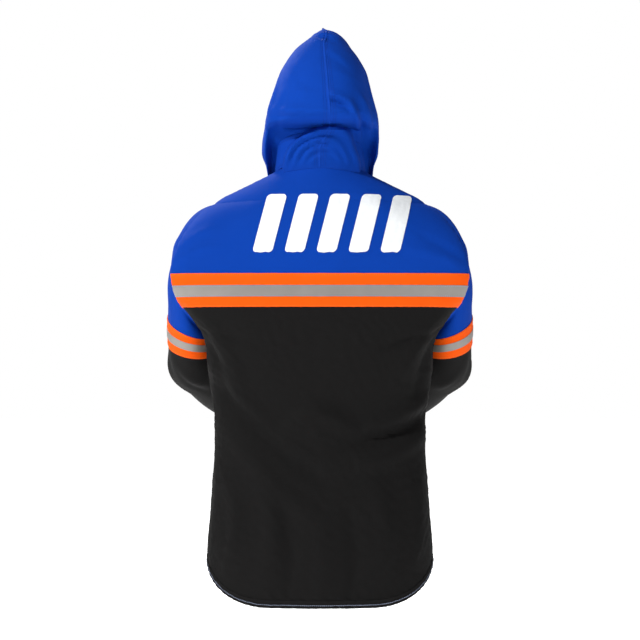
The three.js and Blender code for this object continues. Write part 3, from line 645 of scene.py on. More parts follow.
back_skin = Skin(body_settled(seam_dip(folded(eased(back_grid), BACK_FOLDS, (0, 2 * BACK_HALF)))))
front_left = seam_dip(folded(front_grid(), FRONT_FOLDS, (0, FRONT_COLS - 1)))
RIGHT_FOLDS = [(tuple((x * 0.96, z - 9) for x, z in line), width, height)
               for line, width, height in FRONT_FOLDS]
front_right = mirrored(seam_dip(folded(front_grid(), RIGHT_FOLDS, (0, FRONT_COLS - 1))))
front_skins = {"left": Skin(body_settled(front_left)), "right": Skin(body_settled(front_right))}
HEM_ROW = len(back_z) - 1


# ---- the sleeves' surface, drawn for the wearer's left ----

def v3(*values):
    return np.array(values, float)


ELBOW = v3(228, -102, -357)
FOREARM_DIR = unit(v3(-0.46, -0.75, -0.47))
FOREARM_LENGTH = 236
CUFF_LENGTH = 58
CUFF_RADIUS = 43
ELBOW_NORMAL = unit(unit(v3(-0.02, -0.3, -0.95)) + FOREARM_DIR)
ELBOW_OUTER = unit(v3(1, 0, 0) - ELBOW_NORMAL * ELBOW_NORMAL[0])
ELBOW_BACK = np.cross(ELBOW_OUTER, ELBOW_NORMAL)
FOREARM_OUTER = unit(v3(1, 0, 0) - FOREARM_DIR * FOREARM_DIR[0])
FOREARM_BACK = np.cross(FOREARM_OUTER, FOREARM_DIR)
WRIST = ELBOW + FOREARM_DIR * FOREARM_LENGTH
ARM_CENTRE = v3(ARM_X, 0, ARM_Z)

# Upper sleeve rings: outermost point, innermost point, half depth and the way the back faces.
UPPER = [
    (v3(ARM_X, 0, ARM_Z + ARM_UP), v3(ARM_X, 0, ARM_Z - ARM_DOWN), ARM_HALF, ARM_BACK),
    (v3(215, -12, -79), v3(197, -14, -292), 100, v3(0.6, 0.8, -0.03)),
    (v3(233, -22, -107), v3(197, -28, -294), 95, v3(0.52, 0.85, -0.06)),
    (v3(251, -32, -146), v3(196, -40, -296), 90, v3(0.43, 0.9, -0.1)),
    (v3(267, -41, -190), v3(194, -50, -298), 86, v3(0.34, 0.94, -0.14)),
    (v3(277, -50, -232), v3(192, -58, -301), 83, v3(0.27, 0.96, -0.18)),
    (v3(282, -58, -270), v3(190, -65, -304), 81, v3(0.22, 0.96, -0.22)),
    (v3(283, -76, -318), v3(186, -78, -333), 78, v3(0.16, 0.94, -0.3)),
    (ELBOW + ELBOW_OUTER * 56, ELBOW - ELBOW_OUTER * 56, 68, ELBOW_BACK),
]
FOREARM = [(0.14, 58, 64), (0.34, 60, 61), (0.56, 57, 57), (0.8, 52, 52), (1, 46, 46)]
TAPE_RING = 6               # the sleeve's tape runs from this ring to the next
ELBOW_RING = 8
LAST_RING = ELBOW_RING + len(FOREARM)
SLEEVE_COLS = 84
sleeve_angle = np.arange(SLEEVE_COLS) / SLEEVE_COLS * 2 * math.pi


def upper_ring(index):
    out, inner, half, back = UPPER[index]
    middle = (out + inner) / 2
    length = np.linalg.norm(out - inner) / 2
    outward = unit(out - inner)
    back = unit(back - outward * back.dot(outward))
    egg = max(0.0, 1 - index / 4)
    up = np.cos(sleeve_angle)
    part = abs(up)
    circle = np.sqrt(np.clip(1 - part * part, 0, 1))
    pointed = np.where(up > 0, np.clip(1 - part ** 1.6, 0, 1) ** 0.8, circle)
    wide = circle ** 0.9 * (1 - egg) + pointed * egg
    height = up * length
    if index == 0:
        height = up * np.where(up > 0, ARM_UP, ARM_DOWN) - (ARM_UP - ARM_DOWN) / 2
    return (middle + outward * height[:, None]
            + back * (-np.sign(np.round(np.sin(sleeve_angle), 9)) * wide * half)[:, None])


def forearm_ring(part, half, depth):
    turn = min(1.0, part / 0.3)
    outward = unit(ELBOW_OUTER * (1 - turn) + FOREARM_OUTER * turn)
    back = unit(ELBOW_BACK * (1 - turn) + FOREARM_BACK * turn)
    middle = ELBOW + FOREARM_DIR * part * FOREARM_LENGTH
    return (middle + outward * (np.cos(sleeve_angle) * half)[:, None]
            + back * (-np.sin(sleeve_angle) * depth)[:, None])


def through_rings(rings, places):
    """Smooth rows through rings of points, at fractional ring numbers."""
    rings = np.array(rings)
    gaps = np.linalg.norm(np.diff(rings, axis=0), axis=-1).mean(1)
    slope = np.zeros_like(rings)
    step = np.diff(rings, axis=0) / gaps[:, None, None]
    before, after = gaps[:-1, None, None], gaps[1:, None, None]
    slope[1:-1] = (step[1:] * before + step[:-1] * after) / (before + after)
    slope[0], slope[-1] = step[0], step[-1]
    i = np.clip(np.floor(places).astype(int), 0, len(rings) - 2)
    t = (places - i)[:, None, None]
    h = gaps[i][:, None, None]
    return cubic(rings[i], rings[i + 1], slope[i], slope[i + 1], h, t)


sleeve_places = np.concatenate([
    np.linspace(0, TAPE_RING, 37), np.linspace(TAPE_RING, TAPE_RING + 1, 11)[1:],
    np.linspace(TAPE_RING + 1, ELBOW_RING, 11)[1:], np.linspace(ELBOW_RING, LAST_RING, 44)[1:],
])


def sleeve_row(ring):
    return np.interp(ring, sleeve_places, np.arange(len(sleeve_places)))


def clear_of_body(points, gap=2.5):
    """Pushes what dips into the body's side back out to it."""
    hole = inside_body(points, gap)
    low = ramp(-points[..., 2], 262, 292) * (hole < 1)
    middle = np.stack([0 * points[..., 0], side_y(points[..., 2]), points[..., 2]], -1)
    power = 1 / 2.2
    pushed = middle + (points - middle) * (np.maximum(hole, 1e-3) ** -power)[..., None]
    return points + (pushed - points) * low[..., None]


# Folds on the left sleeve as points in space, for the outside of the elbow, the crook and the cap.
SLEEVE_FOLDS = [
    (((276, -20, -330), (262, -40, -372), (215, -60, -402)), 13, 3.6),
    (((270, -30, -352), (250, -50, -392), (205, -75, -424)), 9, -3.0),
    (((286, -70, -345), (272, -90, -385), (236, -100, -420)), 12, 3.4),
    (((286, -100, -330), (286, -125, -360), (262, -140, -395)), 11, 3.2),
    (((255, -150, -300), (268, -160, -330), (262, -150, -368)), 9, -3.4),
    (((220, -165, -300), (240, -178, -335), (250, -165, -380)), 9, 3.6),
    (((190, -150, -315), (200, -185, -345), (225, -185, -385)), 9, -3.2),
    (((170, -120, -330), (170, -165, -370), (195, -190, -410)), 10, 3.4),
    (((180, -90, -360), (165, -120, -400), (170, -160, -430)), 11, 3.0),
    (((225, -40, -420), (200, -90, -440), (185, -140, -450)), 13, 2.8),
    (((200, -150, -440), (180, -190, -450), (160, -230, -450)), 12, 2.6),
    (((215, -190, -390), (190, -230, -420), (160, -270, -450)), 12, 2.6),
    (((262, 52, -190), (252, 30, -240), (232, 10, -280)), 11, -3.0),
    (((270, 20, -150), (272, 5, -205), (262, -4, -262)), 13, 2.6),
    (((256, 55, -130), (262, 40, -175), (262, 30, -215)), 12, 2.2),
    (((215, -95, -150), (225, -110, -205), (225, -120, -262)), 13, 3.0),
    (((180, -95, -170), (195, -115, -220), (205, -130, -270)), 12, -2.6),
    (((240, -60, -110), (262, -80, -160), (272, -100, -220)), 14, 2.4),
    (((150, -95, -200), (170, -118, -245), (190, -140, -285)), 10, 2.8),
]


def sleeve_grid(folds):
    rings = [upper_ring(i) for i in range(ELBOW_RING + 1)]
    rings += [forearm_ring(*row) for row in FOREARM]
    grid = through_rings(rings, sleeve_places)
    skin = Skin(grid, closed=True)
    lift = FOLD_DEPTH * sum(crease(grid, line, width, height, (0, 1, 2)) for line, width, height in folds)
    part = np.interp(sleeve_places, [0, 0.5, TAPE_RING - 0.6, TAPE_RING, TAPE_RING + 1, TAPE_RING + 1.4],
                     [0, 1, 1, 0.35, 0.35, 1])
    wrist = np.exp(-((LAST_RING - sleeve_places) / 0.12) ** 2)
    seam = np.exp(-(sleeve_places / 0.14) ** 2)
    lift = lift * part[:, None] - (2.6 * wrist + 1.0 * seam)[:, None]
    pleats = 1.5 * np.sin(9 * sleeve_angle + 0.6) * np.exp(-((LAST_RING - sleeve_places) / 0.9) ** 2)[:, None]
    return clear_of_body(grid + skin.n * (lift + pleats * (1 - wrist[:, None]))[..., None])


sleeve_left = sleeve_grid(SLEEVE_FOLDS)
shifted = [(tuple((x, y * 1.02, z - 10) for x, y, z in line), width, height)
           for line, width, height in SLEEVE_FOLDS]
sleeve_skins = {"left": Skin(sleeve_left, closed=True),
                "right": Skin(mirrored(sleeve_grid(shifted)), closed=True)}


# ---- the hood's and collar's surfaces ----

# The hood at each height: half its width, and the y of its back and its front.
HOOD = [
    (-50, 92, 58, -96), (-24, 95, 64, -99), (0, 99, 74, -104), (24, 107, 80, -108),
    (44, 107, 84, -110), (62, 105, 94, -112), (70, 104, 108, -112), (84, 102, 119, -113),
    (110, 95, 124, -113), (139, 86, 123, -112), (167, 78, 117, -109), (190, 66, 107, -103),
    (210, 51, 92, -92), (226, 35, 74, -70), (238, 19, 54, -38), (246, 0.2, 34, 2),
]
HOOD_POWER = 0.87
hood_half, hood_back, hood_front = (along([(row[0], row[k]) for row in HOOD]) for k in (1, 2, 3))


def hood_point(z, angle):
    c, s = np.cos(angle), np.sin(angle)
    back, front = hood_back(z), hood_front(z)
    x = np.sign(c) * abs(c) ** HOOD_POWER * hood_half(z)
    y = (back + front) / 2 + np.sign(s) * abs(s) ** HOOD_POWER * (back - front) / 2
    return np.stack(np.broadcast_arrays(x, y, z), -1)


def face_angle(z, y):
    """How far below the side's line the hood is cut by a plane at y."""
    back, front = hood_back(z), hood_front(z)
    part = np.clip(((back + front) / 2 - y) / ((back - front) / 2), 0, 1)
    return np.arcsin(part ** (1 / HOOD_POWER))


HOOD_TOP = HOOD[-1][0]
HOOD_LOW_ROWS = 18
HOOD_FIXED_Z = np.concatenate([np.arange(24, 60, 4.5), np.arange(60, 92, 3), np.arange(92, 222, 5),
                               np.arange(222, 246, 2), [246]])
HOOD_COLS = 57


NAPE_X, NAPE_Z = -3, -12      # the middle of the arch over the nape, and its reach
NAPE_HALF_W, NAPE_RISE = 71, 76
HOLLOW = -48                 # how far the cloth beside the arch falls in
BAG = 7                      # how far the skull bag hangs over the nape
TUCK = -9
PEAK = -7                    # how far the top leans to the wearer's right
LEAN_X = -5


def peak_shift(z):
    return PEAK * ramp(z, 205, 232) * (1 - ramp(z, 236, 246))


def hood_shape(p):
    """The hung cloth: the skull bag over an arched nape, hollows beside it, a peak and a slanting seam."""
    x, y, z = np.moveaxis(p, -1, 0)
    behind = ramp(y, -30, 25)
    arch = np.sqrt(((x - NAPE_X) / NAPE_HALF_W) ** 2 + ((z - NAPE_Z) / NAPE_RISE) ** 2)
    under = ramp(-z, -74, -62)
    beside = ramp(arch, 0.95, 1.08) * (1 - ramp(abs(x + 2), 88, 103)) * under
    hollow = HOLLOW * beside * behind * (0.55 + 0.45 * ramp(-z, -60, -20))
    rings = sum(height * np.exp(-((arch - place) / 0.045) ** 2) for place, height in NAPE_RINGS)
    nape = rings * under * behind * ramp(z, -12, 14) * (1 - 0.35 * ramp(-x, -20, 30))
    bag = BAG * np.exp(-((z - 84) / 11) ** 2) * behind * (1 - ramp(abs(x), 55, 85))
    tuck = TUCK * np.exp(-((z - 65) / 4) ** 2) * behind * (1 - ramp(abs(x), 60, 80))
    moved = p + np.array([0.0, 1.0, 0.0]) * (hollow + nape + bag + tuck)[..., None]
    seam = np.interp(z, [60, 80, 140, 228], [-13, -13, -8, 0])
    sway = seam * behind * (1 - ramp(abs(x), 20, 95)) * ramp(z, 20, 60)
    lean = LEAN_X * ramp(z, 20, 90) * ramp(y, -60, 20)
    moved[..., 0] += sway + peak_shift(z) + lean
    return moved


# The nape's wrinkles: how far out each lies under the arch, and its height.
NAPE_RINGS = [(0.90, 3.6), (0.79, -3.2), (0.69, 3.0), (0.59, -2.6), (0.49, 2.4), (0.39, -1.8), (0.29, 1.6)]
HOOD_FOLDS = [
    (((-14, 114), (-34, 110), (-62, 94)), 6, 7.0),
    (((-16, 104), (-34, 98), (-58, 82)), 5, -6.0),
    (((-70, 116), (-84, 88), (-92, 44)), 5, 5.0),
    (((-60, 106), (-74, 80), (-80, 40)), 4.5, -5.0),
    (((-50, 98), (-64, 76), (-70, 46)), 5, 4.0),
    (((-92, 96), (-100, 60), (-96, 12)), 5, 4.0),
    (((12, 232), (-14, 227), (-36, 220)), 3.5, 3.6),
    (((6, 225), (-12, 219), (-32, 212)), 3, -3.2),
    (((16, 222), (2, 213), (-22, 204)), 4, 2.4),
    (((-6, 196), (-26, 188), (-48, 172)), 5, 2.0),
    (((0, 182), (-26, 176), (-52, 158)), 5, -1.8),
    (((-8, 160), (-34, 152), (-66, 140)), 6, 2.2),
    (((72, 150), (88, 100), (92, 30)), 8, 3.2),
    (((58, 120), (74, 84), (78, 50)), 6, -2.6),
    (((84, 96), (62, 92), (20, 92)), 5, 3.4),
    (((88, 84), (60, 78), (24, 82)), 4, -3.0),
    (((60, 160), (40, 128), (10, 112)), 8, 2.4),
    (((-4, 136), (30, 130), (64, 140)), 7, -1.6),
]


# Folds on the hood's sides, in y and z.
HOOD_SIDE_FOLDS = [
    (((-44, 206), (-22, 120), (-34, 30)), 12, 3.2),
    (((4, 196), (26, 130), (14, 60)), 9, -2.8),
    (((-72, 160), (-60, 90), (-70, 20)), 8, 2.6),
    (((36, 170), (56, 124), (44, 84)), 8, 2.8),
    (((-10, 90), (-20, 50), (-6, 4)), 8, -2.6),
]


def hood_side(sign):
    """One half of the hood, from the face band round to the centre seam."""
    spread = np.linspace(1, 0, HOOD_COLS)
    edge = HOOD_FACE_Y + HOOD_BAND

    def angle_at(z):
        return math.pi / 2 - spread * (math.pi / 2 + face_angle(z, edge))

    low = solve(np.full(HOOD_COLS, -50.0), np.full(HOOD_COLS, 16.0),
                lambda z: inside_body(hood_point(z, angle_at(z)), 0.8) - 1)
    first = low + (HOOD_FIXED_Z[0] - low) * np.linspace(0, 1, HOOD_LOW_ROWS)[:-1, None]
    fixed = np.repeat(HOOD_FIXED_Z[:, None], HOOD_COLS, 1)
    heights = np.concatenate([first, fixed])[::-1]
    p = hood_point(heights, angle_at(heights))
    p[..., 0] *= sign
    return p


def hood_folded(points):
    """Shapes and creases one side of the hood; the creases are on its back."""
    skin = Skin(points)
    shaped = hood_shape(points)
    behind = ramp(points[..., 1], -20, 30)
    lift = sum(crease(shaped, line, width, height) for line, width, height in HOOD_FOLDS) * behind
    beside = ramp(abs(points[..., 0]), 44, 70)
    lift += beside * sum(crease(points, line, width, height, (1, 2))
                         for line, width, height in HOOD_SIDE_FOLDS)
    return shaped + skin.n * lift[..., None]


def hood_halves(reach=8):
    """Both halves of the hood, brought together along the centre seam."""
    halves = {side: hood_folded(hood_side(sign)) for side, sign in SIDES}
    middle = (halves["left"][:, -1] + halves["right"][:, -1]) / 2
    near = np.exp(-(np.arange(HOOD_COLS)[::-1] / reach) ** 2)
    return {side: Skin(half + (middle - half[:, -1])[:, None] * near[None, :, None])
            for side, half in halves.items()}


hood_skins = hood_halves()
HOOD_ROWS = hood_skins["left"].p.shape[0]


def face_curve(y, count=150):
    """The hood's outline in the plane at one y: up the left, over the top and down the right."""
    top = solve(np.array(100.0), np.array(HOOD_TOP + 0.0), lambda z: hood_front(z) - y)
    low = solve(np.array(-50.0), np.array(16.0),
                lambda z: inside_body(hood_point(z, -face_angle(z, y)), 0.8) - 1)
    turn = np.linspace(0, 1, 400)
    z = low + (top - low) * np.sin(turn * math.pi / 2)
    p = hood_point(z, -face_angle(z, y))
    p[-1, 0] = 0
    both = np.concatenate([p, (p * np.array([-1.0, 1, 1]))[-2::-1]])
    run = np.concatenate([[0], np.cumsum(np.linalg.norm(np.diff(both, axis=0), axis=-1))])
    at = np.linspace(0, run[-1], count)
    return np.stack([np.interp(at, run, both[:, k]) for k in range(3)], -1)


BAND_STEPS = 9
band_rows = np.array([face_curve(y)
                      for y in np.linspace(HOOD_FACE_Y + HOOD_BAND, HOOD_FACE_Y, BAND_STEPS)])
band_rows[..., 0] += peak_shift(band_rows[..., 2])
band_skin = Skin(band_rows, facing=band_rows - np.array([0, 0, 90]))


COLLAR_POWER = 0.85


def collar_grid():
    """The stand collar, from one edge of the zip round the back to the other."""
    raises = np.linspace(0.4, COLLAR_HEIGHT, 16)
    rows = []
    for lift in raises:
        back = COLLAR_BACK - lift * 0.03
        front = FRONT_TOP_Y + FRONT_LEAN * lift
        half = COLLAR_HALF_W - lift * 0.06
        start = math.acos(min(1.0, ((ZIP_HALF + 0.3) / half) ** (1 / COLLAR_POWER)))
        angle = np.linspace(-start, math.pi + start, 110)
        c, s = np.cos(angle), np.sin(angle)
        y = (back + front) / 2 + np.sign(s) * abs(s) ** COLLAR_POWER * (back - front) / 2
        x = np.sign(c) * abs(c) ** COLLAR_POWER * half
        rows.append(np.stack([x, y, NECK_SLOPE * (y - NECK_BACK_Y) + lift], -1))
    return np.array(rows)[::-1]


collar_skin = Skin(collar_grid())


# ---- materials ----

def node_tree(name):
    material = bpy.data.materials.new(name)
    material.use_nodes = True
    tree = material.node_tree
    shader = tree.nodes["Principled BSDF"]
    return material, tree, shader


def link(tree, a, b):
    tree.links.new(a, b)


def fill(node, **values):
    """Sets sockets by name, with _ for a space."""
    for key, value in values.items():
        node.inputs[key.replace("_", " ")].default_value = value


def add_node(tree, kind, **values):
    node = tree.nodes.new(kind)
    for key, value in values.items():
        if key in node.inputs.keys():
            node.inputs[key].default_value = value
        else:
            setattr(node, key, value)
    return node


def linear(red, green, blue):
    """An sRGB colour of 0 to 255 as linear light."""
    parts = [v / 255 for v in (red, green, blue)]
    return [v / 12.92 if v <= 0.04045 else ((v + 0.055) / 1.055) ** 2.4 for v in parts] + [1.0]


def scaled(colour, factor):
    return [min(1.0, v * factor) for v in colour[:3]] + [1.0]


def maths(tree, operation, a, b):
    node = tree.nodes.new("ShaderNodeMath")
    node.operation = operation
    for socket, value in zip(node.inputs, (a, b)):
        if isinstance(value, (int, float)):
            socket.default_value = value
        else:
            link(tree, value, socket)
    return node.outputs[0]


def mixed(tree, factor, a, b):
    node = tree.nodes.new("ShaderNodeMix")
    node.data_type = "RGBA"
    for socket, value in ((node.inputs[0], factor), (node.inputs[6], a), (node.inputs[7], b)):
        if isinstance(value, (int, float, list)):
            socket.default_value = value
        else:
            link(tree, value, socket)
    return node.outputs[2]


WAVES_PER_METRE = 0.314159   # the wave texture's scale for threads one metre apart


def waves(tree, source, pitch, turn):
    """Parallel threads, pitch metres apart, turned by an angle in the cloth's plane."""
    mapping = add_node(tree, "ShaderNodeMapping")
    mapping.inputs["Rotation"].default_value = (0, 0, turn)
    link(tree, source, mapping.inputs["Vector"])
    wave = add_node(tree, "ShaderNodeTexWave", wave_type="BANDS", wave_profile="SIN")
    fill(wave, Scale=WAVES_PER_METRE / pitch, Distortion=0.0)
    link(tree, mapping.outputs[0], wave.inputs["Vector"])
    return wave.outputs["Fac"]


def noise(tree, source, scale, detail=3.0):
    node = add_node(tree, "ShaderNodeTexNoise", Scale=scale, Detail=detail)
    link(tree, source, node.inputs["Vector"])
    return node.outputs["Fac"]


def coordinates(tree):
    """The cloth's flat coordinates and the object's own."""
    return (add_node(tree, "ShaderNodeUVMap", uv_map=UV_NAME).outputs[0],
            add_node(tree, "ShaderNodeTexCoord").outputs["Object"])


def added(tree, a, a_share, b, b_share):
    return maths(tree, "ADD", maths(tree, "MULTIPLY", a, a_share), maths(tree, "MULTIPLY", b, b_share))


def bumped(tree, shader, height, strength, distance):
    """Raises a pattern a little, by its depth in metres."""
    bump = add_node(tree, "ShaderNodeBump")
    fill(bump, Strength=strength, Distance=distance)
    link(tree, height, bump.inputs["Height"])
    link(tree, bump.outputs[0], shader.inputs["Normal"])


def roughened(tree, shader, source, low, high):
    """Lets the roughness vary between two values."""
    rough = add_node(tree, "ShaderNodeMapRange")
    fill(rough, To_Min=low, To_Max=high)
    link(tree, source, rough.inputs["Value"])
    link(tree, rough.outputs[0], shader.inputs["Roughness"])


TWILL_TURN = math.radians(58)
WEAVE_DEPTH = 0.0004         # metres


def woven(name, colour, roughness=0.86, pitch=0.0011, depth=0.25, mottle=0.14, worn=0.16,
          sheen=0.25, rib=False, gloss=0.12):
    """Woven cloth: twill lines over crossing threads, slow colour drift, lint and rubbed edges."""
    material, tree, shader = node_tree(name)
    uv, space = coordinates(tree)
    warp = waves(tree, uv, pitch, 0.0)
    weft = waves(tree, uv, pitch, math.pi / 2)
    twill = warp if rib else waves(tree, uv, pitch * 1.9, TWILL_TURN)
    threads = maths(tree, "MULTIPLY", warp, weft)
    weave = added(tree, threads, 0.45, twill, 0.55)
    drift = noise(tree, space, 7.0)
    fuzz = noise(tree, space, 420.0, 2.0)
    tone = added(tree, added(tree, drift, mottle, fuzz, mottle), 1.0, weave, mottle * 1.2)
    ramped = add_node(tree, "ShaderNodeMapRange")
    fill(ramped, From_Min=mottle * 0.7, From_Max=mottle * 2.4)
    link(tree, tone, ramped.inputs["Value"])
    contrast = mottle * 1.6
    body = mixed(tree, ramped.outputs[0], scaled(colour, 1 - contrast), scaled(colour, 1 + contrast))
    edge = add_node(tree, "ShaderNodeAttribute", attribute_name="edge").outputs["Fac"]
    rub = maths(tree, "MULTIPLY", maths(tree, "MULTIPLY", edge, noise(tree, space, 60.0)), worn)
    faded = [min(1.0, v * 1.5 + 0.03) for v in colour[:3]] + [1.0]
    link(tree, mixed(tree, rub, body, faded), shader.inputs["Base Color"])
    bumped(tree, shader, added(tree, weave, 1.0, fuzz, 0.5), depth, WEAVE_DEPTH)
    roughened(tree, shader, fuzz, roughness - 0.06, min(1.0, roughness + 0.08))
    fill(shader, Sheen_Weight=sheen, Sheen_Roughness=0.45, Sheen_Tint=scaled(colour, 1.6),
         Specular_IOR_Level=gloss)
    return material


def beaded_silver(name):
    """Reflective tape: fine glass beads in a grey binder, with a faint square emboss and scuffs."""
    material, tree, shader = node_tree(name)
    uv, space = coordinates(tree)
    grid = maths(tree, "MULTIPLY", waves(tree, uv, 0.0022, 0.6), waves(tree, uv, 0.0022, 0.6 + math.pi / 2))
    beads = noise(tree, space, 900.0, 1.0)
    scuff = noise(tree, space, 26.0, 5.0)
    tone = added(tree, scuff, 0.7, grid, 0.3)
    colour = linear(146, 141, 136)
    body = mixed(tree, tone, scaled(colour, 0.8), scaled(colour, 1.2))
    link(tree, body, shader.inputs["Base Color"])
    bumped(tree, shader, maths(tree, "ADD", beads, grid), 0.2, 0.0002)
    fill(shader, Roughness=0.48, Metallic=0.35)
    return material


def printed(name, colour):
    """Screen print: a matt film that shows the cloth's threads and fine cracks."""
    material, tree, shader = node_tree(name)
    uv, space = coordinates(tree)
    twill = waves(tree, uv, 0.0021, TWILL_TURN)
    cracks = noise(tree, space, 180.0, 6.0)
    tone = added(tree, twill, 0.4, cracks, 0.6)
    link(tree, mixed(tree, tone, scaled(colour, 0.86), scaled(colour, 1.04)), shader.inputs["Base Color"])
    bumped(tree, shader, tone, 0.15, 0.0003)
    fill(shader, Roughness=0.62)
    return material


def plated(name, colour, roughness):
    """Plated metal with brushing and dulled patches."""
    material, tree, shader = node_tree(name)
    space = add_node(tree, "ShaderNodeTexCoord").outputs["Object"]
    patches = noise(tree, space, 130.0, 4.0)
    brushed = noise(tree, space, 1500.0, 2.0)
    link(tree, mixed(tree, patches, scaled(colour, 0.75), scaled(colour, 1.15)), shader.inputs["Base Color"])
    roughened(tree, shader, patches, roughness - 0.1, roughness + 0.15)
    bumped(tree, shader, brushed, 0.08, 0.0001)
    fill(shader, Metallic=1.0)
    return material


def twisted(name, colour):
    """Sewing thread, matt, with its plies as changes of tone."""
    material, tree, shader = node_tree(name)
    space = add_node(tree, "ShaderNodeTexCoord").outputs["Object"]
    plies = noise(tree, space, 1400.0, 1.0)
    link(tree, mixed(tree, plies, scaled(colour, 0.8), scaled(colour, 1.2)), shader.inputs["Base Color"])
    fill(shader, Roughness=0.7, Specular_IOR_Level=0.15)
    return material


BLUE = woven("royal_blue_twill", linear(0, 58, 158), mottle=0.10, sheen=0.0)
BLACK = woven("black_twill", linear(11, 10, 10), roughness=0.78, mottle=0.16, worn=0.10,
              sheen=0.03, gloss=0.16)
ORANGE = woven("orange_tape_weave", linear(255, 88, 0), roughness=0.72, pitch=0.0009, mottle=0.07,
               worn=0.3, sheen=0.03, rib=True)
SILVER = beaded_silver("beaded_silver")
PRINT = printed("white_print", linear(240, 243, 245))
ZIP_CLOTH = woven("zip_tape_weave", linear(24, 24, 26), pitch=0.0008, mottle=0.1, rib=True)
METAL = plated("plated_metal", linear(160, 163, 166), 0.32)
BLUE_THREAD = twisted("blue_thread", linear(0, 40, 128))
BLACK_THREAD = twisted("black_thread", linear(40, 38, 38))
PALE_THREAD = twisted("pale_thread", linear(150, 160, 184))
ORANGE_THREAD = twisted("orange_thread", linear(255, 120, 40))


# ---- how each part of the garment is held ----

TORSO = riding("torso")
HOOD_HOLD = bending((0, 0, 0), (0, 0, 62))
UPPER_HOLD = {side: bending(ARM_CENTRE * (sign, 1, 1),
                            (ARM_CENTRE + ARM_OUT * 46) * (sign, 1, 1)) for side, sign in SIDES}
LOWER_HOLD = {side: bending(ELBOW * (sign, 1, 1),
                            (ELBOW + ELBOW_NORMAL * 90) * (sign, 1, 1)) for side, sign in SIDES}
FOREARM_HOLD = {side: riding(f"forearm_sleeve_{side}") for side, _ in SIDES}


# ---- torso cloth ----

def steps(low, high):
    """Row numbers from low to high, whole ones between."""
    return np.concatenate([[low], np.arange(math.floor(low) + 1.0, high - 1e-6), [high]])


SEAM_ROW = float(row_at(YOKE_SEAM_Z))
BACK_COLS = np.arange(2 * BACK_HALF + 1)
FRONT_ALL = np.arange(FRONT_COLS)

WALLS = [("back", "", back_skin, BACK_COLS)]
WALLS += [("front", f"_{side}", front_skins[side], FRONT_ALL) for side, _ in SIDES]
for name, end, skin, cols in WALLS:
    for part, rows, material, slot in (("yoke", steps(0, SEAM_ROW), BLUE, "blue_cloth"),
                                       ("panel", steps(SEAM_ROW, HEM_ROW), BLACK, "black_cloth")):
        place(panel(f"{name}_{part}_cloth{end}", skin, rows, cols, material), TORSO, slot,
              f"{name}_{part}{end}")


HEM_STITCH_AT = 0.55         # the stitching's place from the hem's fold-up to its edge


def hem_band(name, skin, cols):
    """The turned-up hem, a second layer on the outside of the lower edge."""
    last = skin.p.shape[0] - 1
    drop = np.linalg.norm(np.diff(skin.p, axis=0), axis=-1)
    rise = np.cumsum(drop[::-1], axis=0)
    start = np.array([last - np.interp(HEM_DEPTH, np.concatenate([[0], rise[:, c]]), np.arange(last + 1))
                      for c in cols])
    rows = start[None, :] + (last - start)[None, :] * np.linspace(0, 1, 7)[:, None]
    band = panel(name, skin, rows, np.repeat(np.array(cols, float)[None], 7, 0), BLACK, **HEM_LAYER)
    return band, skin.line(start + (last - start) * HEM_STITCH_AT, cols, ON_HEM)


hem_lines = []
for name, end, skin, cols in WALLS:
    band, line = hem_band(f"hem_band_{name}{end}", skin, cols)
    place(band, TORSO, "black_cloth")
    hem_lines.append(line)
place(stitching("hem_stitching", hem_lines, PALE_THREAD, pitch=3.6, radius=0.6), TORSO, "black_cloth")


# ---- reflective tape round the body ----

def rows_between(z_high, z_low):
    return steps(float(row_at(z_high)), float(row_at(z_low)))


TAPE_LOW_Z = TAPE_TOP_Z - TAPE_WIDTH
SILVER_TOP_Z = YOKE_SEAM_Z + SILVER_WIDTH / 2
SILVER_LOW_Z = YOKE_SEAM_Z - SILVER_WIDTH / 2
TAPE_EDGE = 2.2             # a tape's edge to its stitching
SILVER_EDGE = 1.4

FLAP_COL = int(np.argmin(abs(front_skins["left"].p[int(SEAM_ROW), :, 0] - 37)))
tape_skins = [("back", back_skin, BACK_COLS, "back_tape")]
tape_skins += [(f"front_{side}", front_skins[side], FRONT_ALL[FLAP_COL:], f"front_tape_{side}")
               for side, _ in SIDES]
tape_lines = []
silver_lines = []
for name, skin, cols, node in tape_skins:
    place(panel(f"tape_{name}_orange", skin, rows_between(TAPE_TOP_Z, TAPE_LOW_Z), cols, ORANGE,
                **TAPE_LAYER), TORSO, "orange_tape", f"{node}_orange")
    place(panel(f"tape_{name}_silver", skin, rows_between(SILVER_TOP_Z, SILVER_LOW_Z), cols, SILVER,
                **SILVER_LAYER), TORSO, "silver_tape", f"{node}_silver")
    for z in (TAPE_TOP_Z - TAPE_EDGE, TAPE_LOW_Z + TAPE_EDGE):
        tape_lines.append(skin.line(row_at(z), cols, ON_TAPE))
    for z in (SILVER_TOP_Z - SILVER_EDGE, SILVER_LOW_Z + SILVER_EDGE):
        silver_lines.append(skin.line(row_at(z), cols, ON_SILVER))
place(stitching("body_tape_stitching", tape_lines, ORANGE_THREAD), TORSO, "orange_tape")
place(stitching("body_silver_stitching", silver_lines, PALE_THREAD), TORSO, "silver_tape")


# ---- sleeves ----

SLEEVE_AROUND = np.arange(SLEEVE_COLS)
ring_line = np.append(SLEEVE_AROUND, SLEEVE_COLS)


def sleeve_band(rows_from, rows_to, count):
    return np.linspace(sleeve_row(rows_from), sleeve_row(rows_to), count)


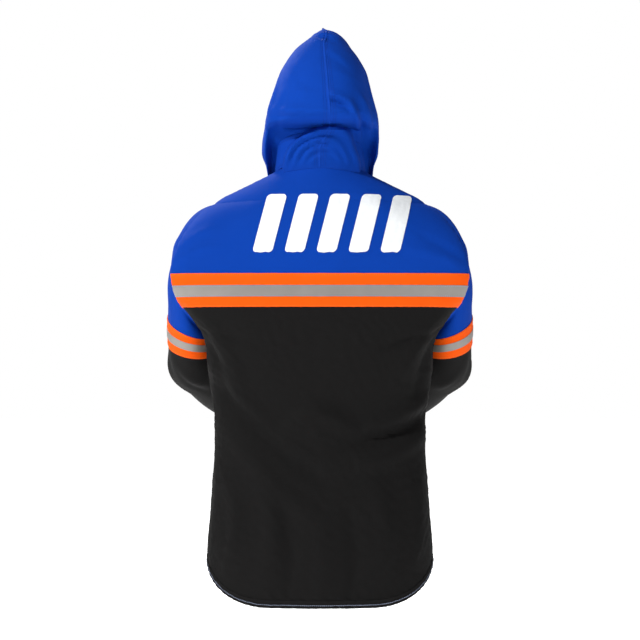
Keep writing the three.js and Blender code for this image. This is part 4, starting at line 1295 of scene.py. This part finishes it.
black_from = TAPE_RING + 1 - 0.05
for side, _ in SIDES:
    skin = sleeve_skins[side]
    place(panel(f"sleeve_upper_cloth_{side}", skin, steps(0, sleeve_row(black_from)), SLEEVE_AROUND, BLUE,
                wrap=True), UPPER_HOLD[side], "blue_cloth", f"sleeve_upper_{side}")
    place(panel(f"sleeve_elbow_cloth_{side}", skin, steps(sleeve_row(black_from), sleeve_row(ELBOW_RING)),
                SLEEVE_AROUND, BLACK, wrap=True), UPPER_HOLD[side], "black_cloth", f"sleeve_elbow_{side}")
    place(panel(f"sleeve_lower_cloth_{side}", skin, steps(sleeve_row(ELBOW_RING), len(sleeve_places) - 1),
                SLEEVE_AROUND, BLACK, wrap=True), LOWER_HOLD[side], "black_cloth", f"sleeve_lower_{side}")
    place(panel(f"sleeve_tape_orange_cloth_{side}", skin, sleeve_band(TAPE_RING, TAPE_RING + 1, 10),
                SLEEVE_AROUND, ORANGE, wrap=True, **TAPE_LAYER), UPPER_HOLD[side], "orange_tape",
          f"sleeve_tape_{side}_orange")
    place(panel(f"sleeve_tape_silver_cloth_{side}", skin, sleeve_band(TAPE_RING + 0.34, TAPE_RING + 0.67, 6),
                SLEEVE_AROUND, SILVER, wrap=True, **SILVER_LAYER), UPPER_HOLD[side], "silver_tape",
          f"sleeve_tape_{side}_silver")
    lines = [skin.line(sleeve_row(TAPE_RING + part), ring_line, ON_TAPE)
             for part in (0.05, 0.95)]
    place(stitching(f"sleeve_tape_stitching_{side}", lines, ORANGE_THREAD), UPPER_HOLD[side], "orange_tape")


# ---- hood and collar ----

for side, _ in SIDES:
    skin = hood_skins[side]
    place(whole(f"hood_cloth_{side}", skin, BLUE), HOOD_HOLD, "blue_cloth", f"hood_{side}")
BAND_COLS = np.arange(band_skin.p.shape[1])
place(whole("hood_band_cloth", band_skin, BLUE, lift=0.9, thick=3.0), HOOD_HOLD, "blue_cloth",
      "hood_face_band")
hood_lines = [band_skin.line(row, BAND_COLS, 1.0) for row in (0.8, 7.4)]
for side, _ in SIDES:
    for inset in (1.0, 1.9):
        rows = np.arange(2, HOOD_ROWS - 2)
        hood_lines.append(hood_skins[side].line(rows, HOOD_COLS - 1 - inset))
place(stitching("hood_stitching", hood_lines, BLUE_THREAD, radius=FINE_STITCH), HOOD_HOLD, "blue_cloth")


CORD_SIDES = 8
CORD_EDGE = 0.6              # how worn a seam's ridge is


def seam_cord(name, path, normals, radius, material, flat):
    """A felled seam: a low round ridge along a path."""
    way = unit(np.gradient(path, axis=0))
    side = unit(np.cross(way, normals))
    rings = []
    for k in range(CORD_SIDES):
        angle = 2 * math.pi * k / CORD_SIDES
        rings.append(path + side * math.cos(angle) * radius + normals * math.sin(angle) * radius * flat)
    points = np.stack(rings, 1)
    count = len(path)
    faces = tube_faces(count, CORD_SIDES)
    faces += [tuple(range(CORD_SIDES))[::-1], tuple((count - 1) * CORD_SIDES + k for k in range(CORD_SIDES))]
    run = np.concatenate([[0], np.cumsum(np.linalg.norm(np.diff(path, axis=0), axis=-1))])
    around = np.arange(CORD_SIDES) * radius * 0.8
    uv = np.stack(np.broadcast_arrays(around[None, :], run[:, None]), -1).reshape(-1, 2)
    edge = np.full(count * CORD_SIDES, CORD_EDGE)
    return mesh_from(name, points.reshape(-1, 3), faces, material, uv, edge)


rows = np.arange(1, HOOD_ROWS - 1)
left_edge, left_normal = hood_skins["left"].line(rows, HOOD_COLS - 1.0, 0)
place(seam_cord("hood_centre_seam", left_edge - left_normal * 0.2, left_normal, 2.2, BLUE, flat=0.55),
      HOOD_HOLD, "blue_cloth")

place(whole("collar_cloth", collar_skin, BLUE, thick=2.4), TORSO, "blue_cloth", "collar_stand")
collar_lines = [collar_skin.line(row, np.arange(1, 109)) for row in (1.6, 13.6)]
collar_lines += [(points - normals * 2.6, -normals) for points, normals in collar_lines]
place(stitching("collar_stitching", collar_lines, BLUE_THREAD), TORSO, "blue_cloth")


# ---- seams of the torso ----

seam_lines = []
black_lines = []
low_row = float(row_at(ARMHOLE_LOW - 4))
armhole_rows = np.arange(UPPER_ROWS, int(row_at(ARMHOLE_LOW)))
for side, sign in SIDES:
    col = BACK_COLS[-1] if sign > 0 else 0
    inset = -1 if sign > 0 else 1
    above = armhole_rows[armhole_rows < row_at(TAPE_TOP_Z)]
    below = armhole_rows[armhole_rows > row_at(TAPE_LOW_Z)]
    side_rows = np.arange(math.ceil(low_row), HEM_ROW - 8)
    seam_lines.append(back_skin.line(above, col + inset * 0.9))
    black_lines.append(back_skin.line(below, col + inset * 0.9))
    black_lines += [back_skin.line(side_rows, col + inset * k) for k in (0.6, 1.6)]
    shoulder = np.arange(1, UPPER_ROWS)
    seam_lines += [back_skin.line(shoulder, col + inset * k) for k in (0.7, 1.7)]
    front = front_skins[side]
    last = FRONT_COLS - 1
    seam_lines.append(front.line(above, last - 0.8))
    black_lines.append(front.line(below, last - 0.8))
for _, _, skin, cols in WALLS:
    seam_lines.append(skin.line(1.6, cols))
place(stitching("yoke_stitching", seam_lines, BLUE_THREAD, radius=FINE_STITCH), TORSO, "blue_cloth")
place(stitching("panel_stitching", black_lines, BLACK_THREAD, radius=FINE_STITCH), TORSO, "black_cloth")

rows = np.arange(UPPER_ROWS + 1)
for side, sign in SIDES:
    col = float(BACK_COLS[-1] if sign > 0 else 0)
    path, normals = back_skin.line(rows, col, 0)
    up = unit(normals + front_skins[side].line(rows, FRONT_COLS - 1.0)[1])
    place(seam_cord(f"shoulder_seam_{side}", path + up * 0.2, up, 2.0, BLUE, flat=0.6), TORSO, "blue_cloth")
    rows_side = np.arange(math.ceil(low_row), HEM_ROW - 1)
    path, normals = back_skin.line(rows_side, col, 0)
    up = unit(normals + front_skins[side].line(rows_side, FRONT_COLS - 1.0)[1])
    place(seam_cord(f"side_seam_{side}", path + up * 0.1, up, 2.0, BLACK, flat=0.6), TORSO, "black_cloth")


# ---- front closing, in the leaning frame of the centre front ----

LEAN = math.atan(FRONT_LEAN)
FRONT_UP = np.array([0, math.sin(LEAN), math.cos(LEAN)])
FRONT_IN = np.array([0, math.cos(LEAN), -math.sin(LEAN)])
FRONT_ORIGIN = np.array([0.0, FRONT_TOP_Y, FRONT_TOP_Z])
ZIP_LOW = HEM_Z - FRONT_TOP_Z + 6
ZIP_HIGH = COLLAR_HEIGHT - 2
FLAP_LEFT = 32
FLAP_RIGHT = -28
FLAP_RISE = 11
FLAP_T = 2.2
FLAP_TOP = -3
FLAP_BOTTOM = ZIP_LOW + 4


def on_front(x, y, z):
    x, y, z = (np.asarray(v, float)[..., None] for v in np.broadcast_arrays(x, y, z))
    return FRONT_ORIGIN + x * np.array([1.0, 0, 0]) + y * FRONT_IN + z * FRONT_UP


def prism(name, outline, low, high, bevel):
    """A metal plate on the front: its (x, z) outline, thickened from low to high and its edges rounded."""
    count = len(outline)
    points = [on_front(a, y, b) for y in (low, high) for a, b in outline]
    faces = [tuple(range(count)), tuple(range(2 * count - 1, count - 1, -1))]
    faces += [(i + count, (i + 1) % count + count, (i + 1) % count, i) for i in range(count)]
    obj = mesh_from(name, np.array(points).reshape(-1, 3), faces, METAL, sharp=40)
    modifier = obj.modifiers.new("round", "BEVEL")
    modifier.width = bevel * MM
    modifier.segments = 2
    bake(obj)
    recalculate(obj)
    return obj


def bake(obj):
    """Applies an object's modifiers."""
    depsgraph = bpy.context.evaluated_depsgraph_get()
    mesh = bpy.data.meshes.new_from_object(obj.evaluated_get(depsgraph))
    obj.modifiers.clear()
    obj.data = mesh


def recalculate(obj):
    """Turns every face outward."""
    work = bmesh.new()
    work.from_mesh(obj.data)
    bmesh.ops.recalc_face_normals(work, faces=work.faces)
    work.to_mesh(obj.data)
    work.free()


def joined(name, objects):
    """Several objects as one mesh, with the first one's materials."""
    work = bmesh.new()
    for obj in objects:
        work.from_mesh(obj.data)
    mesh = bpy.data.meshes.new(name)
    work.to_mesh(mesh)
    work.free()
    mesh.materials.append(objects[0].data.materials[0])
    for obj in objects:
        bpy.data.objects.remove(obj)
    made = bpy.data.objects.new(name, mesh)
    bpy.context.collection.objects.link(made)
    return made


TOOTH = [(3.2, -0.6), (1.3, -0.6), (0.7, -0.95), (-0.5, -0.95), (-1.1, 0), (-0.5, 0.95), (0.7, 0.95),
         (1.3, 0.6), (3.2, 0.6)]
TOOTH_PITCH = 4.0


def teeth(side, sign):
    """A row of moulded zip teeth that reach between those of the other side."""
    count = len(TOOTH)
    first = ZIP_LOW + 14 + (TOOTH_PITCH / 2 if sign < 0 else 0)
    heights = np.arange(first, ZIP_HIGH - 1, TOOTH_PITCH)
    layers = ((-0.3, 0.82), (0.4, 1.0), (2.0, 1.0), (2.7, 0.82))
    end = len(layers) * count
    shape = [*tube_faces(len(layers), count), range(count), range(end - 1, end - count - 1, -1)]
    points, faces = [], []
    for n, z in enumerate(heights):
        for y, shrink in layers:
            for x, dz in TOOTH:
                points.append(on_front(sign * (1.0 + (x - 1.0) * shrink), y, z + dz * shrink))
        base = n * len(layers) * count
        faces += [tuple(base + k for k in face) for face in shape]
    obj = mesh_from(f"zip_row_{side}", np.array(points).reshape(-1, 3), faces, METAL, sharp=30)
    recalculate(obj)
    return obj


def zip_tape(side, sign):
    """Ribbed tape with the corded edge that carries the teeth."""
    across = np.array([2.4, 3.0, 4.0, 5.5, 7.5, 9.5, 11.5, ZIP_HALF])
    bulge = np.array([0.9, 0.6, 0.1, 0, 0, 0, 0, 0])
    along_z = np.linspace(ZIP_LOW, ZIP_HIGH, 120)
    grid = on_front(sign * across[None, :], 0.7 - bulge[None, :], along_z[::-1, None])
    skin = Skin(grid, facing=np.broadcast_to(-FRONT_IN, grid.shape))
    return whole(f"zip_cloth_{side}", skin, ZIP_CLOTH, thick=1.0)


for side, sign in SIDES:
    place(teeth(side, sign), TORSO, "metal", f"zip_teeth_{side}")
    place(zip_tape(side, sign), TORSO, "zip_cloth", f"zip_tape_{side}")


def rounded(half_w, low, high, radius, steps=5):
    """A rectangle with round corners as (x, z) pairs."""
    out = []
    for sx, cz, start in ((1, high, 0), (-1, high, 90), (-1, low, 180), (1, low, 270)):
        centre_x = sx * (half_w - radius)
        centre_z = cz - radius if cz == high else cz + radius
        for k in range(steps):
            angle = math.radians(start + 90 * k / (steps - 1))
            out.append((centre_x + radius * math.cos(angle), centre_z + radius * math.sin(angle)))
    return out


SLIDER_TOP = ZIP_HIGH - 8
slider_parts = [
    prism("slider_plate", [(-6, SLIDER_TOP), (6, SLIDER_TOP), (5.6, SLIDER_TOP - 5), (3.9, SLIDER_TOP - 15),
                           (-3.9, SLIDER_TOP - 15), (-5.6, SLIDER_TOP - 5)], -2.4, -0.6, 0.5),
    prism("slider_bridge", rounded(1.6, SLIDER_TOP - 12, SLIDER_TOP - 2, 1.5), -3.8, -2.2, 0.4),
]
place(joined("slider_body", slider_parts), riding("zip_slider"), "metal", "zip_slider")
PULL_TOP = SLIDER_TOP - 4
pull_parts = [
    prism("pull_plate", rounded(3.5, PULL_TOP - 30, PULL_TOP - 8, 2.4), -5.6, -4.2, 0.4),
    prism("pull_eye", rounded(2.5, PULL_TOP - 10, PULL_TOP, 2.2), -5.5, -4.2, 0.4),
    prism("pull_rib", rounded(2.0, PULL_TOP - 27, PULL_TOP - 13, 1.6), -5.7, -5.4, 0.1),
]
place(joined("pull_tab", pull_parts), riding("zip_pull"), "metal", "zip_pull")
place(prism("zip_stop_box", rounded(5.2, ZIP_LOW, ZIP_LOW + 11.6, 1.2), -0.9, 0.3, 0.4), TORSO,
      "metal", "zip_bottom_box")


def flap_section(x):
    t = np.clip((x - FLAP_RIGHT) / (FLAP_LEFT - FLAP_RIGHT), 0, 1)
    return 0.2 - (FLAP_RISE - FLAP_T) * np.sin(np.pi * t) ** 0.8


flap_x = np.linspace(FLAP_RIGHT, FLAP_LEFT, 33)
flap_z = np.linspace(FLAP_TOP, FLAP_BOTTOM, 170)
wave_z = 0.5 * np.sin(flap_z / 37.0) + 0.35 * np.sin(flap_z / 15.3 + 1.0)
flap_mid = np.sin(np.pi * np.clip((flap_x - FLAP_RIGHT) / (FLAP_LEFT - FLAP_RIGHT), 0, 1))
flap_grid = on_front(flap_x[None, :], flap_section(flap_x)[None, :] - FLAP_T
                     + (wave_z[:, None] * 0.6 + 0.5) * flap_mid[None, :], flap_z[:, None])
flap_skin = Skin(flap_grid, facing=np.broadcast_to(-FRONT_IN, flap_grid.shape))
STORM = riding("storm_flap")
place(whole("storm_flap_cloth", flap_skin, BLACK), STORM, "black_cloth", "storm_flap")
flap_lines = framed(flap_skin, np.arange(2, 168), np.arange(2.5, 30.5), (2.2, 5.0, 29.5), (1.2, 168.2))
place(stitching("storm_flap_stitching", flap_lines, BLACK_THREAD), STORM, "black_cloth")


# ---- press studs ----

STUD_PROFILE = [(0, 2.35), (2.2, 2.5), (3.6, 2.35), (4.2, 1.9), (4.8, 1.9), (5.4, 2.3), (6.4, 2.1),
                (7.2, 1.4), (7.5, 0.6), (7.4, 0.0), (0, 0.0)]
STUD_TURNS = 32


def stud(name, node, way):
    """A press-stud cap with a sunk ring round a low dome, where the frame has it."""
    low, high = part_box(node)
    centre = np.array((low + high) / 2) / MM
    way = unit(np.asarray(way, float))
    base = centre - way * 1.3
    first = unit(np.cross(way, v3(0.3, 0.2, 1)))
    second = np.cross(way, first)
    points = [base + way * STUD_PROFILE[0][1]]
    for radius, height in STUD_PROFILE[1:-1]:
        for k in range(STUD_TURNS):
            angle = 2 * math.pi * k / STUD_TURNS
            points.append(base + way * height + (first * math.cos(angle) + second * math.sin(angle)) * radius)
    points.append(base)
    rings = len(STUD_PROFILE) - 2
    faces = []
    for k in range(STUD_TURNS):
        after = (k + 1) % STUD_TURNS
        faces.append((0, 1 + k, 1 + after))
        faces += [(1 + r * STUD_TURNS + k, 1 + (r + 1) * STUD_TURNS + k, 1 + (r + 1) * STUD_TURNS + after,
                   1 + r * STUD_TURNS + after) for r in range(rings - 1)]
        low_ring = 1 + (rings - 1) * STUD_TURNS
        faces.append((low_ring + k, len(points) - 1, low_ring + after))
    obj = mesh_from(name, np.array(points), faces, METAL, sharp=60)
    recalculate(obj)
    return obj


for i in range(1, 6):
    place(stud(f"storm_stud_{i}", f"storm_flap_stud_{i}", -FRONT_IN + v3(-0.42, 0, 0)), STORM, "metal",
          f"storm_flap_stud_{i}")


# ---- chest pockets ----

def front_surface(x, z, lift):
    """A point standing off the front of the body, for the wearer's left."""
    rim = body_arc(z, np.full(np.shape(z), math.pi / 2), False)
    power = 2 / front_square(z)
    angle = np.arcsin(np.clip((x / rim[..., 0]) ** (1 / power), 0, 1))
    return body_arc(z, angle, False, lift)


POCKET_LOW_Z = POCKET_TOP_Z - POCKET_H
POCKET_INNER = POCKET_X - POCKET_W / 2
POCKET_OUTER = POCKET_X + POCKET_W / 2
CORNER = 12


def pocket_grid():
    """A patch pocket: flat edges sewn down on three sides, and a mouth that stands open a little."""
    down = np.linspace(0, 1, 34)[:, None]
    across = np.linspace(0, 1, 40)[None, :]
    z = POCKET_TOP_Z - down * POCKET_H + 0 * across
    near_low = np.clip((z - POCKET_LOW_Z) / CORNER, 0, 1)
    inset = CORNER * (1 - np.sqrt(np.clip(1 - (1 - near_low) ** 2, 0, 1)))
    x = POCKET_INNER + inset + (POCKET_W - 2 * inset) * across
    side = np.minimum(x - POCKET_INNER - inset, POCKET_OUTER - inset - x)
    low = z - POCKET_LOW_Z
    stand = ramp(side, 0, 14) * ramp(low, 0, 22)
    sag = 1.2 * np.sin(across * math.pi * 3 + 0.8) * ramp(low, 10, 60) * ramp(side, 0, 20)
    lift = 1.8 + (POCKET_DEPTH - 3.0) * stand + sag * 0.6
    return front_surface(x, z, lift)


def lid_grid():
    """The pocket's flap: sewn along the top, standing over the pocket and dipping to a blunt point."""
    down = np.linspace(0, 1, 22)[:, None]
    across = np.linspace(0, 1, 44)[None, :]
    top = POCKET_TOP_Z + 4
    inner, outer = POCKET_INNER - POCKET_FLAP_OVERHANG, POCKET_OUTER + POCKET_FLAP_OVERHANG
    ends = 7 * np.clip(abs(across - 0.5) * 2 - 0.35, 0, 1) ** 1.2 / 0.65
    z = top - down * (POCKET_FLAP_H - ends)
    near_low = np.clip((1 - down) * POCKET_FLAP_H / 9, 0, 1)
    inset = 5 * (1 - np.sqrt(np.clip(1 - (1 - near_low) ** 2, 0, 1)))
    x = inner + inset + (outer - inner - 2 * inset) * across
    lift = 3.2 + 11.6 * ramp(top - z, 0, 12) - 0.5 * np.cos(across * math.pi * 2) * down
    return front_surface(x, z, lift)


for side, sign in SIDES:
    turn = np.array([sign, 1.0, 1.0])
    facing = np.array([0.25 * sign, -1.0, 0.0])
    pocket = pocket_grid() * turn
    pocket_skin = Skin(pocket, facing=np.broadcast_to(facing, pocket.shape))
    place(whole(f"pocket_cloth_{side}", pocket_skin, BLACK, thick=1.7), TORSO, "black_cloth",
          f"chest_pocket_{side}")
    lid = lid_grid() * turn
    lid_skin = Skin(lid, facing=np.broadcast_to(facing, lid.shape))
    LID = riding(f"pocket_flap_{side}")
    place(whole(f"pocket_flap_cloth_{side}", lid_skin, BLACK, thick=2.2), LID, "black_cloth",
          f"pocket_flap_{side}")
    lines = framed(pocket_skin, np.arange(1.2, 32.8), np.arange(1.2, 38.8), (1.2, 37.8), (1.4, 3.4, 31.8))
    place(stitching(f"pocket_stitching_{side}", lines, BLACK_THREAD), TORSO, "black_cloth")
    lines = framed(lid_skin, np.arange(1.6, 20.4), np.arange(1.6, 42.4), (1.8, 41.2), (2.0, 18.9))
    place(stitching(f"pocket_flap_stitching_{side}", lines, BLACK_THREAD), LID, "black_cloth")
    place(stud(f"pocket_cap_{side}", f"pocket_stud_{side}", facing), LID, "metal", f"pocket_stud_{side}")


# ---- cuffs ----

def cuff_point(angle, radius, distance, sign):
    """A point round the wrist; angle 0 faces outward and positive angles go forward and up."""
    angle, radius, distance = (np.asarray(v, float)[..., None]
                               for v in np.broadcast_arrays(angle, radius, distance))
    p = (WRIST + FOREARM_DIR * distance + FOREARM_OUTER * np.cos(angle) * radius
         - FOREARM_BACK * np.sin(angle) * radius)
    return p * np.array([sign, 1.0, 1.0])


TAB_FROM = math.radians(-40)
TAB_TO = math.radians(34)
TAB_HALF_W = 15
TAB_RISE = 2.9
STUD_ANGLE = TAB_TO - math.radians(13)
for side, sign in SIDES:
    around = np.arange(72) / 72 * 2 * math.pi
    distance = np.linspace(0.4, CUFF_LENGTH, 15)
    ripple = 0.35 * np.sin(around * 5 + 1)[None, :] * np.sin(np.pi * distance / CUFF_LENGTH)[:, None]
    grid = cuff_point(around[None, :], CUFF_RADIUS - 0.4 + ripple, distance[:, None], sign)
    cuff_skin = Skin(grid, closed=True)
    place(whole(f"cuff_cloth_{side}", cuff_skin, BLACK, thick=3.0, wrap=True), FOREARM_HOLD[side],
          "black_cloth", f"cuff_{side}")
    lines = [cuff_skin.line(row, np.arange(73)) for row in (1.0, 12.9)]
    place(stitching(f"cuff_stitching_{side}", lines, BLACK_THREAD), FOREARM_HOLD[side], "black_cloth")
    tab_angle = np.linspace(TAB_FROM, TAB_TO, 30)
    part = np.linspace(-1, 1, 12)
    tip = 1 - 0.38 * ramp(tab_angle, TAB_TO - 0.24, TAB_TO + 0.02)
    hub = (WRIST + FOREARM_DIR * CUFF_LENGTH / 2) * np.array([sign, 1.0, 1.0])
    along_cuff = CUFF_LENGTH / 2 + part[None, :] * TAB_HALF_W * tip[:, None]
    grid = cuff_point(tab_angle[:, None], CUFF_RADIUS + TAB_RISE, along_cuff, sign)
    tab_skin = Skin(grid, facing=grid - hub)
    TAB = riding(f"cuff_tab_{side}")
    place(whole(f"cuff_tab_cloth_{side}", tab_skin, BLACK, thick=2.2), TAB, "black_cloth",
          f"cuff_tab_{side}")
    lines = framed(tab_skin, np.arange(1.0, 28.6), np.arange(1.0, 10.4), (1.0, 10.0), (1.0, 27.8))
    place(stitching(f"cuff_tab_stitching_{side}", lines, BLACK_THREAD), TAB, "black_cloth")
    at = cuff_point(STUD_ANGLE, 1.0, CUFF_LENGTH / 2, sign)
    place(stud(f"cuff_cap_{side}", f"cuff_stud_{side}", at.reshape(3) - hub), TAB, "metal",
          f"cuff_stud_{side}")


# ---- hanger loop and print ----

LOOP_RADIUS = 13.2
LOOP_HALF_W = 1.6
LOOP_HALF_T = 0.75
LOOP_EDGE = 0.3


def hanger_loop():
    """A loop of narrow tape sewn inside the collar."""
    low, high = (np.array(corner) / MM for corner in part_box("hanger_loop"))
    centre = (low + high) / 2
    angle = np.linspace(0, 2 * math.pi, 49)[:-1]
    section = np.linspace(0, 2 * math.pi, 13)[:-1]
    points, uv = [], []
    for a in angle:
        for s in section:
            radius = LOOP_RADIUS + LOOP_HALF_W * math.cos(s)
            ring = (radius * math.cos(a), LOOP_HALF_T * math.sin(s), radius * math.sin(a))
            points.append(centre + np.array(ring))
            uv.append((LOOP_RADIUS * a, LOOP_HALF_W * s))
    count = len(section)
    total = len(points)
    faces = tube_faces(len(angle), count, closed=True)
    obj = mesh_from("hanger_loop_tape", np.array(points), faces, ZIP_CLOTH, np.array(uv),
                    np.full(total, LOOP_EDGE))
    recalculate(obj)
    return obj


place(hanger_loop(), TORSO, "black_cloth", "hanger_loop")

PRINT_BARS = 5
PRINT_HALF = 140
PRINT_TOP = -58
PRINT_HEIGHT = 104
PRINT_SLANT = 26
PRINT_FILL = 0.62            # a bar's share of its pitch
PRINT_CORNER = 7.0


ROW_DROP = 4.0               # about how far one row lies below the last


def back_column(x, z):
    """The fractional column of the back's skin at one x and z."""
    if z < ARMHOLE_TOP:
        row = float(row_at(z))
    else:
        heights = back_skin.p[:UPPER_ROWS + 1, BACK_HALF, 2]
        row = float(np.interp(-z, -heights, np.arange(len(heights))))
    xs = back_skin.sample(row, BACK_COLS)[0]
    col = float(np.interp(x, xs[:, 0], BACK_COLS))
    for _ in range(6):
        row += (back_skin.sample(row, col)[0][2] - z) / ROW_DROP
        row = float(np.clip(row, 0, HEM_ROW))
        xs = back_skin.sample(row, BACK_COLS)[0]
        col = float(np.interp(x, xs[:, 0], BACK_COLS))
    return row, col


def print_bar(index):
    """One slanted bar of the print, with rounded ends, laid on the yoke."""
    pitch = PRINT_HALF * 2 / PRINT_BARS
    width = pitch * PRINT_FILL
    left = -PRINT_HALF + pitch * index
    corner = PRINT_CORNER
    ends = corner * (1 - np.cos(np.linspace(0, math.pi / 2, 9)))
    down = np.concatenate([ends, np.linspace(corner, PRINT_HEIGHT - corner, 22)[1:-1],
                           PRINT_HEIGHT - ends[::-1]]) / PRINT_HEIGHT
    across = np.linspace(0, 1, 13)
    rows, cols = np.zeros((len(down), 13)), np.zeros((len(down), 13))
    for i, d in enumerate(down):
        near_end = min(d, 1 - d) * PRINT_HEIGHT / corner
        inset = corner * (1 - math.sqrt(max(0.0, 1 - (1 - min(1, near_end)) ** 2)))
        for j, t in enumerate(across):
            z = PRINT_TOP - d * PRINT_HEIGHT
            x = left - PRINT_SLANT * (1 - d) + inset + (width - 2 * inset) * t
            rows[i, j], cols[i, j] = back_column(x, z)
    return panel(f"print_bar_{index + 1}", back_skin, rows, cols, PRINT, **PRINT_LAYER)


for index in range(PRINT_BARS):
    place(print_bar(index), TORSO, "white_print", f"yoke_print_{index + 1}")


# ---- stage ----

def floor():
    """A wide pale floor, bright enough to meet the white ground behind it, in metres."""
    size, level = 9.0, -1.02
    points = [(-size, -size, level), (size, -size, level), (size, size, level), (-size, size, level)]
    mesh = bpy.data.meshes.new("floor")
    mesh.from_pydata(points, [], [(0, 1, 2, 3)])
    material, _, shader = node_tree("pale_floor")
    fill(shader, Base_Color=linear(246, 246, 246), Roughness=0.9, Emission_Color=(1, 1, 1, 1),
         Emission_Strength=0.8)
    mesh.materials.append(material)
    obj = bpy.data.objects.new("floor", mesh)
    bpy.context.collection.objects.link(obj)


floor()


def area_light(name, location, target, size, power):
    data = bpy.data.lights.new(name, "AREA")
    data.shape = "DISK"
    data.size = size
    data.energy = power
    light = bpy.data.objects.new(name, data)
    light.location = location
    light.rotation_mode = "QUATERNION"
    light.rotation_quaternion = (Vector(target) - Vector(location)).to_track_quat("-Z", "Y")
    bpy.context.collection.objects.link(light)


MIDDLE = (0, 0, -0.27)
area_light("key", (2.2, 2.0, 2.4), MIDDLE, 0.5, 135)
area_light("fill", (-2.4, 2.2, 0.2), MIDDLE, 1.2, 10)
area_light("front", (1.6, -2.4, 2.0), MIDDLE, 0.6, 84)


SOFT_LIGHT = 0.24


def studio_world():
    """Even soft light, and a white ground behind everything."""
    world = bpy.data.worlds.new("studio")
    world.use_nodes = True
    tree = world.node_tree
    soft = tree.nodes["Background"]
    soft.inputs["Strength"].default_value = SOFT_LIGHT
    white = add_node(tree, "ShaderNodeBackground", Strength=1.0)
    for background in (soft, white):
        background.inputs["Color"].default_value = (1, 1, 1, 1)
    path = add_node(tree, "ShaderNodeLightPath")
    mix = add_node(tree, "ShaderNodeMixShader")
    link(tree, path.outputs["Is Camera Ray"], mix.inputs[0])
    link(tree, soft.outputs[0], mix.inputs[1])
    link(tree, white.outputs[0], mix.inputs[2])
    link(tree, mix.outputs[0], tree.nodes["World Output"].inputs["Surface"])
    bpy.context.scene.world = world


studio_world()
bpy.context.scene.view_settings.view_transform = "Standard"

CAMERA_LENS = 89.3
CAMERA_BEHIND = 2.9          # metres behind the jacket, which turns its back to the camera
CAMERA_HEIGHT = -0.281
camera_data = bpy.data.cameras.new("camera")
camera_data.lens = CAMERA_LENS
camera_data.sensor_width = 36
camera = bpy.data.objects.new("camera", camera_data)
camera.location = (0, CAMERA_BEHIND, CAMERA_HEIGHT)
camera.rotation_euler = (math.pi / 2, 0, math.pi)
bpy.context.collection.objects.link(camera)
bpy.context.scene.camera = camera
